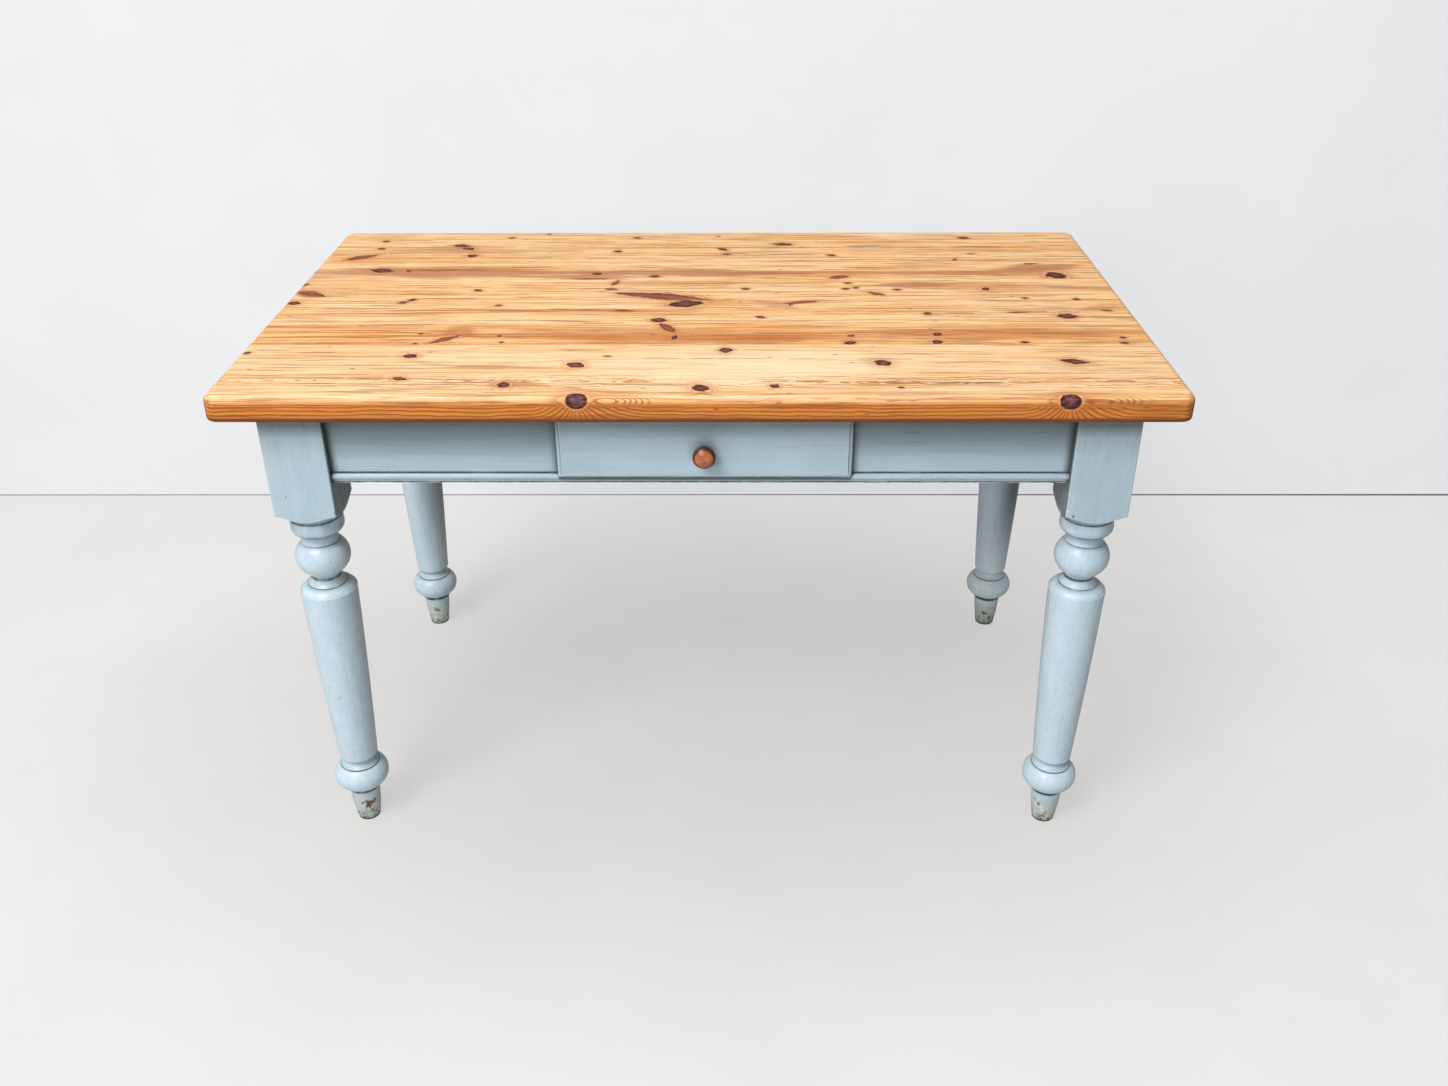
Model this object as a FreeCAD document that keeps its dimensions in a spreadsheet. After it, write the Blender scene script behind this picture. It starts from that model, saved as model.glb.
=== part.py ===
import FreeCAD, Part
import Sketcher
import math
import os

# A kitchen table with turned legs, a boarded top and one lipped, dovetailed drawer in the front.
# Millimetres, +Z up. The origin is on the floor under the middle of the top, and -Y is the front.

document = FreeCAD.newDocument("kitchen_table")
sheet = document.addObject("Spreadsheet::Sheet", "Sizes")

SIZES = [
    ("THE WHOLE TABLE", None),
    ("table_height", 770),
    ("top_length", 1290),
    ("top_width", 745),
    ("top_thickness", 36),
    ("top_corner_radius", 18),
    ("top_edge_round", 11),
    ("top_under_round", 4),
    ("end_overhang", 53),
    ("front_overhang", 39.5),
    ("BOARDS OF THE TOP, from the back (the front board takes the rest)", None),
    ("board_one_width", 95),
    ("board_two_width", 90),
    ("board_three_width", 84),
    ("board_four_width", 86),
    ("board_five_width", 116),
    ("board_six_width", 87),
    ("APRONS AND RAILS", None),
    ("apron_height", 112),
    ("apron_thickness", 22),
    ("apron_setback", 12),
    ("top_rail_height", 16),
    ("bottom_rail_height", 22),
    ("tenon_thickness", 10),
    ("tenon_length", 40),
    ("tenon_shoulder", 12),
    ("upper_tenon_shoulder", 20),
    ("rail_tenon_shoulder", 4),
    ("panel_tenon_shoulder", 10),
    ("tail_joint_depth", 10),
    ("tail_joint_neck", 12),
    ("tail_joint_end", 18),
    ("tail_joint_reach", 20),
    ("joint_clearance", 0.1),
    ("mortise_end_clearance", 1),
    ("BEAD PLANTED ALONG THE APRONS", None),
    ("bead_height", 14),
    ("bead_fillet_height", 4.5),
    ("bead_fillet_depth", 1.6),
    ("bead_top_depth", 0.6),
    ("bead_swell", 3.4),
    ("SQUARE OF THE LEG", None),
    ("leg_square", 86),
    ("leg_square_length", 160),
    ("leg_arris", 1.2),
    ("leg_blank_allowance", 1),
    ("DRAWER OPENING", None),
    ("opening_width", 381),
    ("opening_centre", 7.5),
    ("DRAWER", None),
    ("drawer_side_clearance", 1),
    ("drawer_top_clearance", 1.5),
    ("runner_clearance", 0.3),
    ("lip_clearance", 0.5),
    ("lip_thickness", 11.5),
    ("lip_side_overlap", 10),
    ("lip_bottom_overlap", 12),
    ("lip_top_overlap", 14),
    ("lip_corner_radius", 5),
    ("lip_ovolo_radius", 4),
    ("lip_field_step", 2),
    ("lip_field_margin", 6),
    ("bead_lap_clearance", 0.6),
    ("front_core_thickness", 12.5),
    ("drawer_length", 470),
    ("drawer_side_thickness", 10),
    ("drawer_back_thickness", 10),
    ("drawer_back_drop", 6),
    ("drawer_bottom_thickness", 5),
    ("bottom_groove_height", 8),
    ("bottom_groove_depth", 5),
    ("bottom_clearance", 0.2),
    ("dovetail_length", 11),
    ("dovetail_edge", 7),
    ("dovetail_gap", 10),
    ("dovetail_flare", 2),
    ("back_pin_width", 12),
    ("back_half_pin_width", 8),
    ("back_pin_flare", 2),
    ("panel_pin_diameter", 2),
    ("panel_pin_head_diameter", 4.5),
    ("panel_pin_head_height", 1),
    ("panel_pin_point", 2),
    ("panel_pin_bite", 13),
    ("panel_pin_spacing", 100),
    ("KNOB", None),
    ("knob_diameter", 31),
    ("knob_height", 28),
    ("knob_base_diameter", 18),
    ("knob_neck_length", 10.5),
    ("knob_neck_diameter", 25),
    ("knob_neck_hollow", 2),
    ("knob_shoulder_length", 2.5),
    ("knob_shoulder_swell", 0.6),
    ("knob_rim_length", 3),
    ("knob_ring_length", 3.5),
    ("knob_ring_inset", 2),
    ("knob_ring_swell", 0.7),
    ("knob_dome_height", 5),
    ("knob_dome_swell", 1.8),
    ("knob_spigot_diameter", 10),
    ("RUNNERS, GUIDES, KICKERS AND STOPS", None),
    ("runner_width", 34),
    ("runner_tenon_length", 8),
    ("runner_tenon_height", 14),
    ("runner_tenon_width", 20),
    ("guide_width", 16),
    ("guide_height", 30),
    ("stop_width", 18),
    ("stop_length", 24),
    ("stop_height", 20),
    ("stop_clearance", 0.5),
    ("TOP FIXINGS", None),
    ("button_width", 34),
    ("button_length", 54),
    ("button_thickness", 18),
    ("button_tongue_length", 8),
    ("button_tongue_thickness", 6),
    ("button_tongue_drop", 5),
    ("button_screw_setback", 34),
    ("long_button_spacing", 680),
    ("short_button_spacing", 240),
    ("screw_diameter", 4),
    ("screw_head_diameter", 8),
    ("screw_head_height", 2.6),
    ("screw_head_swell", 0.9),
    ("screw_point", 4),
    ("screw_bite", 20),
    ("screw_hole_clearance", 0.1),
    ("kicker_screw_spacing", 440),
]

# The turned part of the leg, as a turner reads it: how far each member runs along the leg, the radius it
# ends at, and how far its curve stands out from a straight line (minus is a hollow, 0 is straight).
# The foot is read from the floor up, and the head from the square block down.
FOOT = [
    ("stub", 57.5, 23.6, 0.9),
    ("foot_ring", 9, 24.5, 1.5),
    ("foot_ball", 42.5, 30.8, 14),
    ("foot_quirk", 0.8, 28.9, 0),
    ("foot_lip", 0.8, 29.4, 0),
    ("foot_cove", 12, 22.3, -2.6),
    ("taper_toe", 8.4, 29.3, 2.4),
]
HEAD = [
    ("shoulder", 17, 36.4, -1.9),
    ("ring_top", 3, 37.5, 0),
    ("ring", 9, 37.5, 0),
    ("ring_round", 15.5, 27.2, 4.4),
    ("ball_cove", 14, 27.4, -1.5),
    ("ball_quirk", 1.4, 26.6, 0),
    ("ball", 49.6, 24.6, 13.6),
    ("neck_cove", 4.6, 21.8, -0.7),
    ("neck", 4, 21.8, 0),
    ("collar_cove", 10, 27, -1.5),
    ("collar_quirk", 1.6, 27.6, 0),
    ("taper_shoulder", 8.4, 39.3, 1.7),
    ("taper_arris", 2.3, 41, 0.7),
]
ENDS = [
    ("stub_base_radius", 17.2),
    ("taper_swell", 1.2),
]
PANEL_PIN_COUNT = 4


class Size:
    """A length worked out from the sheet: its value now, and the expression that FreeCAD keeps."""

    def __init__(self, text, value):
        self.text = text
        self.value = value

    def combine(self, sign, other, value):
        return Size(f"({self.text} {sign} {as_size(other).text})", value)

    def __add__(self, other):
        return self.combine("+", other, self.value + as_size(other).value)

    def __sub__(self, other):
        return self.combine("-", other, self.value - as_size(other).value)

    def __mul__(self, other):
        return self.combine("*", other, self.value * as_size(other).value)

    def __truediv__(self, other):
        return self.combine("/", other, self.value / as_size(other).value)

    def __neg__(self):
        return Size(f"(-1 * {self.text})", -self.value)


def as_size(number):
    return number if isinstance(number, Size) else Size(str(number), number)


class Sizes:
    """Each size in the sheet by its name, as in size.top_length."""

    def __init__(self):
        self.row = 1

    def heading(self, words):
        sheet.set(f"A{self.row}", words)
        self.row += 1

    def add(self, name, value):
        sheet.set(f"A{self.row}", name.replace("_", " "))
        sheet.set(f"B{self.row}", str(value))
        sheet.setAlias(f"B{self.row}", name)
        setattr(self, name, Size(f"Sizes.{name}", value))
        self.row += 1


def member_size(member, measure):
    return getattr(size, f"{member}_{measure}")


size = Sizes()
for name, value in SIZES:
    if value is None:
        size.heading(name)
    else:
        size.add(name, value)
for heading, members in (("FOOT OF THE LEG", FOOT), ("HEAD OF THE LEG", HEAD)):
    size.heading(heading)
    for member, length, radius, swell in members:
        size.add(f"{member}_length", length)
        size.add(f"{member}_radius", radius)
        if swell:
            size.add(f"{member}_swell", swell)
size.heading("ENDS OF THE TURNING")
for name, value in ENDS:
    size.add(name, value)
document.recompute()


# ---------------------------------------------------------------- helpers

# A sketch counts its own axes down from -1. A constraint names the place on a curve that it takes
# hold of by its number, and the start of the X axis is the origin.
X_AXIS, Y_AXIS = range(-1, -3, -1)
START, END, CENTRE = range(1, 4)
ORIGIN_POINT = (X_AXIS, START)
HALF_DIAGONAL = math.sqrt(0.5)
CORNER_SWELL = 1 - HALF_DIAGONAL
OVERCUT = 1
TOUCHING = 1e-4

parts = []


def bind(item, **properties):
    """Bind properties to sizes. Two underscores stand for a dot, as in Placement__Base__x."""
    for name, value in properties.items():
        item.setExpression(name.replace("__", "."), as_size(value).text)


def place(item, x=0, y=0, z=0, angle=None):
    """Put a sub-part in the table, turned about Z if an angle is given."""
    if angle is not None:
        item.Placement.Rotation = FreeCAD.Rotation(FreeCAD.Vector(0, 0, 1), angle)
    bind(item, Placement__Base__x=x, Placement__Base__y=y, Placement__Base__z=z)


def part(item, label):
    item.Label = label
    parts.append(item)
    return item


def body(label):
    return document.addObject("PartDesign::Body", f"{label}_body")


def sketch_on(owner, name, plane, offset=0):
    """A sketch on one of the body's own planes, moved along that plane's normal."""
    sketch = owner.newObject("Sketcher::SketchObject", name)
    support = [item for item in owner.Origin.OriginFeatures if item.Role == plane]
    sketch.AttachmentSupport = [(support[0], "")]
    sketch.MapMode = "FlatFace"
    bind(sketch, AttachmentOffset__Base__z=offset)
    return sketch


def constrain(sketch, kind, *arguments, value=None):
    """Add a constraint, with its value bound to a size where it has one."""
    if value is None:
        sketch.addConstraint(Sketcher.Constraint(kind, *arguments))
        return
    value = as_size(value)
    index = sketch.addConstraint(Sketcher.Constraint(kind, *arguments, value.value))
    sketch.setExpression(f"Constraints[{index}]", value.text)


def fix_point(sketch, geometry, position, x, y):
    for kind, value, axis in (("DistanceX", x, Y_AXIS), ("DistanceY", y, X_AXIS)):
        if as_size(value).text == "0":
            constrain(sketch, "PointOnObject", geometry, position, axis)
        else:
            constrain(sketch, kind, *ORIGIN_POINT, geometry, position, value=value)


def outline(sketch, corners):
    """A closed outline. Each corner is (x, y) or (x, y, swell of the curve that leads to the next)."""
    count = len(corners)
    points = [FreeCAD.Vector(as_size(c[0]).value, as_size(c[1]).value, 0) for c in corners]
    pieces = []
    for index, corner in enumerate(corners):
        start, end = points[index], points[(index + 1) % count]
        swell = as_size(corner[2]) if len(corner) > 2 else None
        if swell is None:
            geometry = sketch.addGeometry(Part.LineSegment(start, end), False)
            pieces.append((geometry, START, END))
            continue
        along = end - start
        outward = FreeCAD.Vector(along.y, -along.x, 0).normalize()
        middle = (start + end) / 2 + outward * swell.value
        geometry = sketch.addGeometry(Part.Arc(start, middle, end), False)
        forwards = sketch.getPoint(geometry, START).distanceToPoint(start) < TOUCHING
        pieces.append((geometry, START, END) if forwards else (geometry, END, START))
    for index, (geometry, first, last) in enumerate(pieces):
        next_geometry, next_first, _ = pieces[(index + 1) % count]
        constrain(sketch, "Coincident", geometry, last, next_geometry, next_first)
        fix_point(sketch, geometry, first, *corners[index][:2])
    for index, corner in enumerate(corners):
        if len(corner) > 2:
            following = corners[(index + 1) % count]
            radius = arc_radius(corner, following, corner[2])
            constrain(sketch, "Radius", pieces[index][0], value=radius)


def arc_radius(start, end, swell):
    """The radius of the arc between two points that stands out from its chord by swell."""
    across = as_size(end[0]) - start[0]
    up = as_size(end[1]) - start[1]
    reach = as_size(swell) if as_size(swell).value > 0 else -as_size(swell)
    return ((across * across + up * up) / 4 + reach * reach) / (reach * 2)


def rectangle(sketch, left, bottom, right, top):
    outline(sketch, [(left, bottom), (right, bottom), (right, top), (left, top)])


def rounded_rectangle(sketch, left, bottom, right, top, radius):
    left, bottom, right, top = (as_size(edge) for edge in (left, bottom, right, top))
    swell = radius * CORNER_SWELL
    outline(sketch, [
        (left + radius, bottom), (right - radius, bottom, swell),
        (right, bottom + radius), (right, top - radius, swell),
        (right - radius, top), (left + radius, top, swell),
        (left, top - radius), (left, bottom + radius, swell),
    ])


def circle(sketch, x, y, diameter):
    centre = FreeCAD.Vector(as_size(x).value, as_size(y).value, 0)
    ring = Part.Circle(centre, FreeCAD.Vector(0, 0, 1), as_size(diameter).value / 2)
    geometry = sketch.addGeometry(ring, False)
    constrain(sketch, "Diameter", geometry, value=diameter)
    fix_point(sketch, geometry, CENTRE, x, y)


def pad(owner, sketch, length, reverse=False):
    feature = owner.newObject("PartDesign::Pad", f"{sketch.Name}_pad")
    feature.Profile = sketch
    feature.Reversed = reverse
    bind(feature, Length=length)
    document.recompute()
    return feature


def pocket(owner, sketch, length=None, reverse=False):
    """Cut a sketch into the body, and make sure that it cut something."""
    before = owner.Shape.Volume
    feature = owner.newObject("PartDesign::Pocket", f"{sketch.Name}_pocket")
    feature.Profile = sketch
    feature.Reversed = reverse
    if length is None:
        feature.Type = "ThroughAll"
        feature.Midplane = True
    else:
        bind(feature, Length=length)
    document.recompute()
    if not owner.Shape.Volume < before:
        raise RuntimeError(f"{sketch.Name} cut nothing")
    return feature


def revolve(owner, sketch, axis):
    feature = owner.newObject("PartDesign::Revolution", f"{sketch.Name}_turning")
    feature.Profile = sketch
    feature.ReferenceAxis = (sketch, [axis])
    feature.Angle = 360
    document.recompute()
    return feature


def dress(owner, kind, base, edges, amount):
    """A PartDesign fillet or chamfer on the chosen edges of a feature."""
    feature = owner.newObject(f"PartDesign::{kind}", f"{base.Name}_{kind.lower()}")
    feature.Base = (base, edges)
    bind(feature, **{"Radius" if kind == "Fillet" else "Size": amount})
    document.recompute()
    return feature


def edges_at(feature, height, axis):
    """The names of the edges that lie wholly at one height along an axis (0, 1 or 2)."""
    names = []
    for number, edge in enumerate(feature.Shape.Edges, start=1):
        box = edge.BoundBox
        low = (box.XMin, box.YMin, box.ZMin)[axis]
        high = (box.XMax, box.YMax, box.ZMax)[axis]
        if abs(low - height) < TOUCHING and abs(high - height) < TOUCHING:
            names.append(f"Edge{number}")
    return names


def box(name, low, high):
    """A plain squared piece between two opposite corners, each given as (x, y, z) sizes."""
    item = document.addObject("Part::Box", name)
    length, width, height = (as_size(top) - bottom for bottom, top in zip(low, high))
    bind(item, Length=length, Width=width, Height=height)
    bind(item, Placement__Base__x=low[0], Placement__Base__y=low[1], Placement__Base__z=low[2])
    return item


def fuse(name, pieces):
    item = document.addObject("Part::MultiFuse", name)
    item.Shapes = pieces
    return item


def cut(name, base, tools):
    """Take one or more tools away from a piece."""
    tool = tools[0] if len(tools) == 1 else fuse(f"{name}_tools", tools)
    item = document.addObject("Part::Cut", name)
    item.Base = base
    item.Tool = tool
    return item


def copies(label, pattern, places):
    """One node of identical pieces. Each place is (x, y, z, angle about Z)."""
    document.recompute()
    shapes = []
    for x, y, z, angle in places:
        shape = pattern.Shape.copy()
        position = FreeCAD.Vector(*(as_size(value).value for value in (x, y, z)))
        shape.Placement = FreeCAD.Placement(position, FreeCAD.Rotation(FreeCAD.Vector(0, 0, 1), angle))
        shapes.append(shape)
    item = document.addObject("Part::Feature", f"{label}_group")
    item.Shape = Part.makeCompound(shapes)
    return part(item, label)


# ---------------------------------------------------------------- shared places

under_top = size.table_height - size.top_thickness
half_square = size.leg_square / 2
leg_x = size.top_length / 2 - size.end_overhang - half_square
leg_y = size.top_width / 2 - size.front_overhang - half_square
long_span = leg_x - half_square
short_span = leg_y - half_square
apron_bottom = under_top - size.apron_height
apron_face_x = leg_x + half_square - size.apron_setback
apron_face_y = leg_y + half_square - size.apron_setback
apron_back_x = apron_face_x - size.apron_thickness
apron_back_y = apron_face_y - size.apron_thickness
apron_centre_offset = half_square - size.apron_setback - size.apron_thickness / 2
half_tenon = size.tenon_thickness / 2

opening_left = size.opening_centre - size.opening_width / 2
opening_right = size.opening_centre + size.opening_width / 2
opening_bottom = apron_bottom + size.bottom_rail_height
opening_top = under_top - size.top_rail_height

apron_tenon_bottom = apron_bottom + size.tenon_shoulder
apron_tenon_top = under_top - size.upper_tenon_shoulder
rail_tenon_bottom = apron_bottom + size.rail_tenon_shoulder
rail_tenon_top = opening_bottom - size.rail_tenon_shoulder
panel_tenon_bottom = opening_bottom + size.panel_tenon_shoulder
panel_tenon_top = opening_top - size.panel_tenon_shoulder

runner_tenon_bottom = apron_bottom + size.rail_tenon_shoulder
slot_bottom = under_top - size.button_tongue_drop - size.button_tongue_thickness

# Turn buttons: (x, y) where each tongue leaves it, and the angle that points the tongue outwards.
half_long_spacing = size.long_button_spacing / 2
half_short_spacing = size.short_button_spacing / 2
button_places = []
button_screws = []
for side in (-1, 1):
    for end in (-1, 1):
        x, y = half_long_spacing * end, apron_back_y * side
        button_places.append((x, y, 90 * side))
        button_screws.append((x, y - size.button_screw_setback * side))
        x, y = apron_back_x * side, half_short_spacing * end
        button_places.append((x, y, 90 - 90 * side))
        button_screws.append((x - size.button_screw_setback * side, y))

# The runners, guides and kickers on each side of the drawer share one middle line.
runner_centres = {
    "left": opening_left - size.guide_width + size.runner_width / 2,
    "right": opening_right + size.guide_width - size.runner_width / 2,
}
# The kicker's screws keep to the strip above the guide, so that their heads clear the drawer's side.
kicker_screw_lines = {
    "left": opening_left - size.guide_width / 2,
    "right": opening_right + size.guide_width / 2,
}
kicker_screws = {
    side: [(line, size.kicker_screw_spacing / 2 * end) for end in (-1, 1)]
    for side, line in kicker_screw_lines.items()
}


# ---------------------------------------------------------------- the top

def make_top():
    """Seven boards glued edge to edge. Their edges are moulded on the whole top, so it is made first."""
    slab = body("glued_top")
    half_length, half_width = size.top_length / 2, size.top_width / 2
    plan = sketch_on(slab, "top_plan", "XY_Plane")
    rounded_rectangle(plan, -half_length, -half_width, half_length, half_width, size.top_corner_radius)
    blank = pad(slab, plan, size.top_thickness)
    upper = edges_at(blank, size.top_thickness.value, 2)
    rounded = dress(slab, "Fillet", blank, upper, size.top_edge_round)
    dress(slab, "Fillet", rounded, edges_at(rounded, 0, 2), size.top_under_round)
    holes = sketch_on(slab, "pilot_holes", "XY_Plane")
    for x, y in button_screws + kicker_screws["left"] + kicker_screws["right"]:
        circle(holes, x, y, size.screw_diameter + size.screw_hole_clearance * 2)
    pocket(slab, holes, size.screw_bite + size.mortise_end_clearance, reverse=True)
    place(slab, z=under_top)

    widths = (size.board_one_width, size.board_two_width, size.board_three_width,
              size.board_four_width, size.board_five_width, size.board_six_width)
    seams = [half_width]
    for width in widths:
        seams.append(seams[-1] - width)
    seams.append(-half_width)
    for number, (back, front) in enumerate(zip(seams, seams[1:]), start=1):
        stock = box(f"board_stock_{number}", (-half_length, front, under_top),
                    (half_length, back, size.table_height))
        board = document.addObject("Part::Common", f"board_{number}")
        board.Base = slab
        board.Tool = stock
        part(board, f"top_board_{number}")


# ---------------------------------------------------------------- the legs

def turning(members, start_z, start_radius, up):
    """Corners (radius, height, swell) of one end of the turning, from its start along the leg."""
    corners = [(as_size(start_radius), as_size(start_z))]
    for member, _, _, swell in members:
        radius, height = corners[-1][:2]
        if swell:
            swell = member_size(member, "swell")
            corners[-1] = (radius, height, swell)
        length = member_size(member, "length")
        corners.append((member_size(member, "radius"), height + length if up else height - length))
    return corners


def leg_profile():
    """The half outline of the turned leg, from the floor up, with the blank left full at the top."""
    blank_radius = size.leg_square * HALF_DIAGONAL + size.leg_blank_allowance
    foot = turning(FOOT, 0, size.stub_base_radius, up=True)
    head = turning(HEAD, under_top - size.leg_square_length, blank_radius, up=False)
    # The head was read downwards, so its corners are turned over: each curve belongs to its lower end.
    upward = []
    for index in range(len(head) - 1, -1, -1):
        radius, height = head[index][:2]
        above = head[index - 1] if index else ()
        upward.append((radius, height) + tuple(above[2:]))
    foot[-1] = foot[-1] + (size.taper_swell,)
    return [(0, 0)] + foot + upward + [(blank_radius, under_top), (0, under_top)]


def mortise(owner, name, corners, bottom, top):
    """A pocket whose plan is given, between two heights."""
    plan = sketch_on(owner, name, "XY_Plane", bottom)
    for shape in corners:
        outline(plan, shape)
    pocket(owner, plan, as_size(top) - bottom, reverse=True)


def mortise_plan(toward, offset, along):
    """The plan of a mortise cut in from an inner face: toward is the face's side, offset its centre."""
    cheek = half_tenon + size.joint_clearance
    mouth = (half_square + OVERCUT) * toward
    end = (half_square - size.tenon_length - size.mortise_end_clearance) * toward
    low, high = (end, mouth) if toward > 0 else (mouth, end)
    if along == "x":
        return plan_rectangle(low, offset - cheek, high, offset + cheek)
    return plan_rectangle(offset - cheek, low, offset + cheek, high)


def plan_rectangle(left, near, right, far):
    return [(left, near), (right, near), (right, far), (left, far)]


def tail_plan(toward, offset, clearance):
    """The plan of the lapped tail that ties the top rail into a leg."""
    mouth = half_square * toward
    end = (half_square - size.tail_joint_reach - clearance) * toward
    neck = size.tail_joint_neck / 2 + clearance
    head = size.tail_joint_end / 2 + clearance
    corners = [(mouth, offset - neck), (end, offset - head), (end, offset + head), (mouth, offset + neck)]
    return corners if toward < 0 else corners[::-1]


def make_leg(label, side, depth):
    """One leg. side is -1 on the left and 1 on the right; depth is -1 at the front and 1 at the back."""
    leg = body(label)
    turned = sketch_on(leg, f"{label}_profile", "XZ_Plane")
    outline(turned, leg_profile())
    revolve(leg, turned, "V_Axis")
    squaring = sketch_on(leg, f"{label}_squaring", "XY_Plane")
    waste = size.leg_square
    rectangle(squaring, -waste, -waste, waste, waste)
    corner = size.leg_square / 2
    arris = size.leg_arris
    outline(squaring, [
        (-corner + arris, -corner), (corner - arris, -corner), (corner, -corner + arris),
        (corner, corner - arris), (corner - arris, corner), (-corner + arris, corner),
        (-corner, corner - arris), (-corner, -corner + arris),
    ])
    pocket(leg, squaring)
    long_offset = apron_centre_offset * depth
    short_offset = apron_centre_offset * side
    long_plan = mortise_plan(-side, long_offset, "x")
    short_plan = mortise_plan(-depth, short_offset, "y")
    clearance = size.joint_clearance
    if depth > 0:
        mortise(leg, f"{label}_mortises", [long_plan, short_plan],
                apron_tenon_bottom - clearance, apron_tenon_top + clearance)
    else:
        mortise(leg, f"{label}_side_mortise", [short_plan],
                apron_tenon_bottom - clearance, apron_tenon_top + clearance)
        mortise(leg, f"{label}_rail_mortise", [long_plan],
                rail_tenon_bottom - clearance, rail_tenon_top + clearance)
        mortise(leg, f"{label}_panel_mortise", [long_plan],
                panel_tenon_bottom - clearance, panel_tenon_top + clearance)
        mortise(leg, f"{label}_tail_socket", [tail_plan(-side, long_offset, clearance)],
                under_top - size.tail_joint_depth - clearance, under_top + OVERCUT)
    place(leg, x=leg_x * side, y=leg_y * depth)
    part(leg, label)


# ---------------------------------------------------------------- aprons, rails and beads

def button_slots(label, along, face, face_side):
    """Slots for the top buttons in an apron's inner face: along lists their middles."""
    slots = []
    half = size.button_width / 2 + size.joint_clearance
    bottom = slot_bottom - size.joint_clearance
    top = slot_bottom + size.button_tongue_thickness + size.joint_clearance
    depth = size.button_tongue_length + size.mortise_end_clearance
    inner, outer = (face, face + depth) if face_side > 0 else (face - depth, face)
    for number, middle in enumerate(along, start=1):
        if label.startswith("side"):
            low, high = (inner, middle - half, bottom), (outer, middle + half, top)
        else:
            low, high = (middle - half, inner, bottom), (middle + half, outer, top)
        slots.append(box(f"{label}_slot_{number}", low, high))
    return slots


def runner_mortises(label, face, face_side):
    """Stub mortises for the two drawer runners, in the inner face at the front or the back."""
    clearance = size.joint_clearance
    depth = size.runner_tenon_length + size.mortise_end_clearance
    near, far = (face, face + depth) if face_side > 0 else (face - depth, face)
    half = size.runner_tenon_width / 2 + clearance
    bottom = runner_tenon_bottom - clearance
    top = runner_tenon_bottom + size.runner_tenon_height + clearance
    return [
        box(f"{label}_runner_mortise_{side}", (centre - half, near, bottom), (centre + half, far, top))
        for side, centre in runner_centres.items()
    ]


def make_aprons():
    """The plain aprons at the back and the sides, each with a tenon at both ends."""
    middle = apron_face_y - size.apron_thickness / 2
    board = box("back_apron_board", (-long_span, apron_back_y, apron_bottom),
                (long_span, apron_face_y, under_top))
    reach = long_span + size.tenon_length
    tenons = box("back_apron_tenons", (-reach, middle - half_tenon, apron_tenon_bottom),
                 (reach, middle + half_tenon, apron_tenon_top))
    slots = button_slots("back", (-half_long_spacing, half_long_spacing), apron_back_y, 1)
    sockets = runner_mortises("back", apron_back_y, 1)
    blank = fuse("back_apron_blank", [board, tenons])
    part(cut("back_apron_piece", blank, slots + sockets), "back_apron")

    reach = short_span + size.tenon_length
    for name, side in (("left", -1), ("right", 1)):
        faces = [apron_back_x * side, apron_face_x * side]
        middle = (apron_face_x - size.apron_thickness / 2) * side
        inner, outer = faces if side > 0 else faces[::-1]
        board = box(f"side_{name}_board", (inner, -short_span, apron_bottom),
                    (outer, short_span, under_top))
        tenons = box(f"side_{name}_tenons", (middle - half_tenon, -reach, apron_tenon_bottom),
                     (middle + half_tenon, reach, apron_tenon_top))
        blank = fuse(f"side_{name}_blank", [board, tenons])
        slots = button_slots(f"side_{name}", (-half_short_spacing, half_short_spacing),
                             apron_back_x * side, side)
        part(cut(f"side_{name}_piece", blank, slots), f"side_apron_{name}")


def make_front():
    """The front is four pieces round the drawer opening: a rail above, a rail below and two panels."""
    middle = -(apron_face_y - size.apron_thickness / 2)
    face, back = -apron_face_y, -apron_back_y
    reach = long_span + size.tenon_length

    rail = box("bottom_rail_board", (-long_span, face, apron_bottom), (long_span, back, opening_bottom))
    tenons = box("bottom_rail_tenons", (-reach, middle - half_tenon, rail_tenon_bottom),
                 (reach, middle + half_tenon, rail_tenon_top))
    blank = fuse("bottom_rail_blank", [rail, tenons])
    part(cut("bottom_rail_piece", blank, runner_mortises("front", back, -1)), "front_bottom_rail")

    top_rail = body("front_top_rail")
    plan = sketch_on(top_rail, "top_rail_plan", "XY_Plane")
    rectangle(plan, -long_span, face, long_span, back)
    pad(top_rail, plan, size.top_rail_height)
    tails = sketch_on(top_rail, "top_rail_tails", "XY_Plane", size.top_rail_height - size.tail_joint_depth)
    for side in (-1, 1):
        corners = tail_plan(-side, -apron_centre_offset, as_size(0))
        outline(tails, [(x + leg_x * side, y - leg_y) for x, y in corners])
    pad(top_rail, tails, size.tail_joint_depth)
    place(top_rail, z=opening_top)
    slots = button_slots("front", (-half_long_spacing, half_long_spacing), back, -1)
    part(cut("top_rail_piece", top_rail, slots), "front_top_rail")

    overlap = size.runner_width
    ends = (("left", -long_span, opening_left, -reach, opening_left - overlap),
            ("right", opening_right, long_span, opening_right + overlap, reach))
    for name, low, high, tenon_low, tenon_high in ends:
        panel = box(f"panel_{name}_board", (low, face, opening_bottom), (high, back, opening_top))
        tenon = box(f"panel_{name}_tenon", (tenon_low, middle - half_tenon, panel_tenon_bottom),
                    (tenon_high, middle + half_tenon, panel_tenon_top))
        part(fuse(f"panel_{name}_piece", [panel, tenon]), f"front_panel_{name}")


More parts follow.
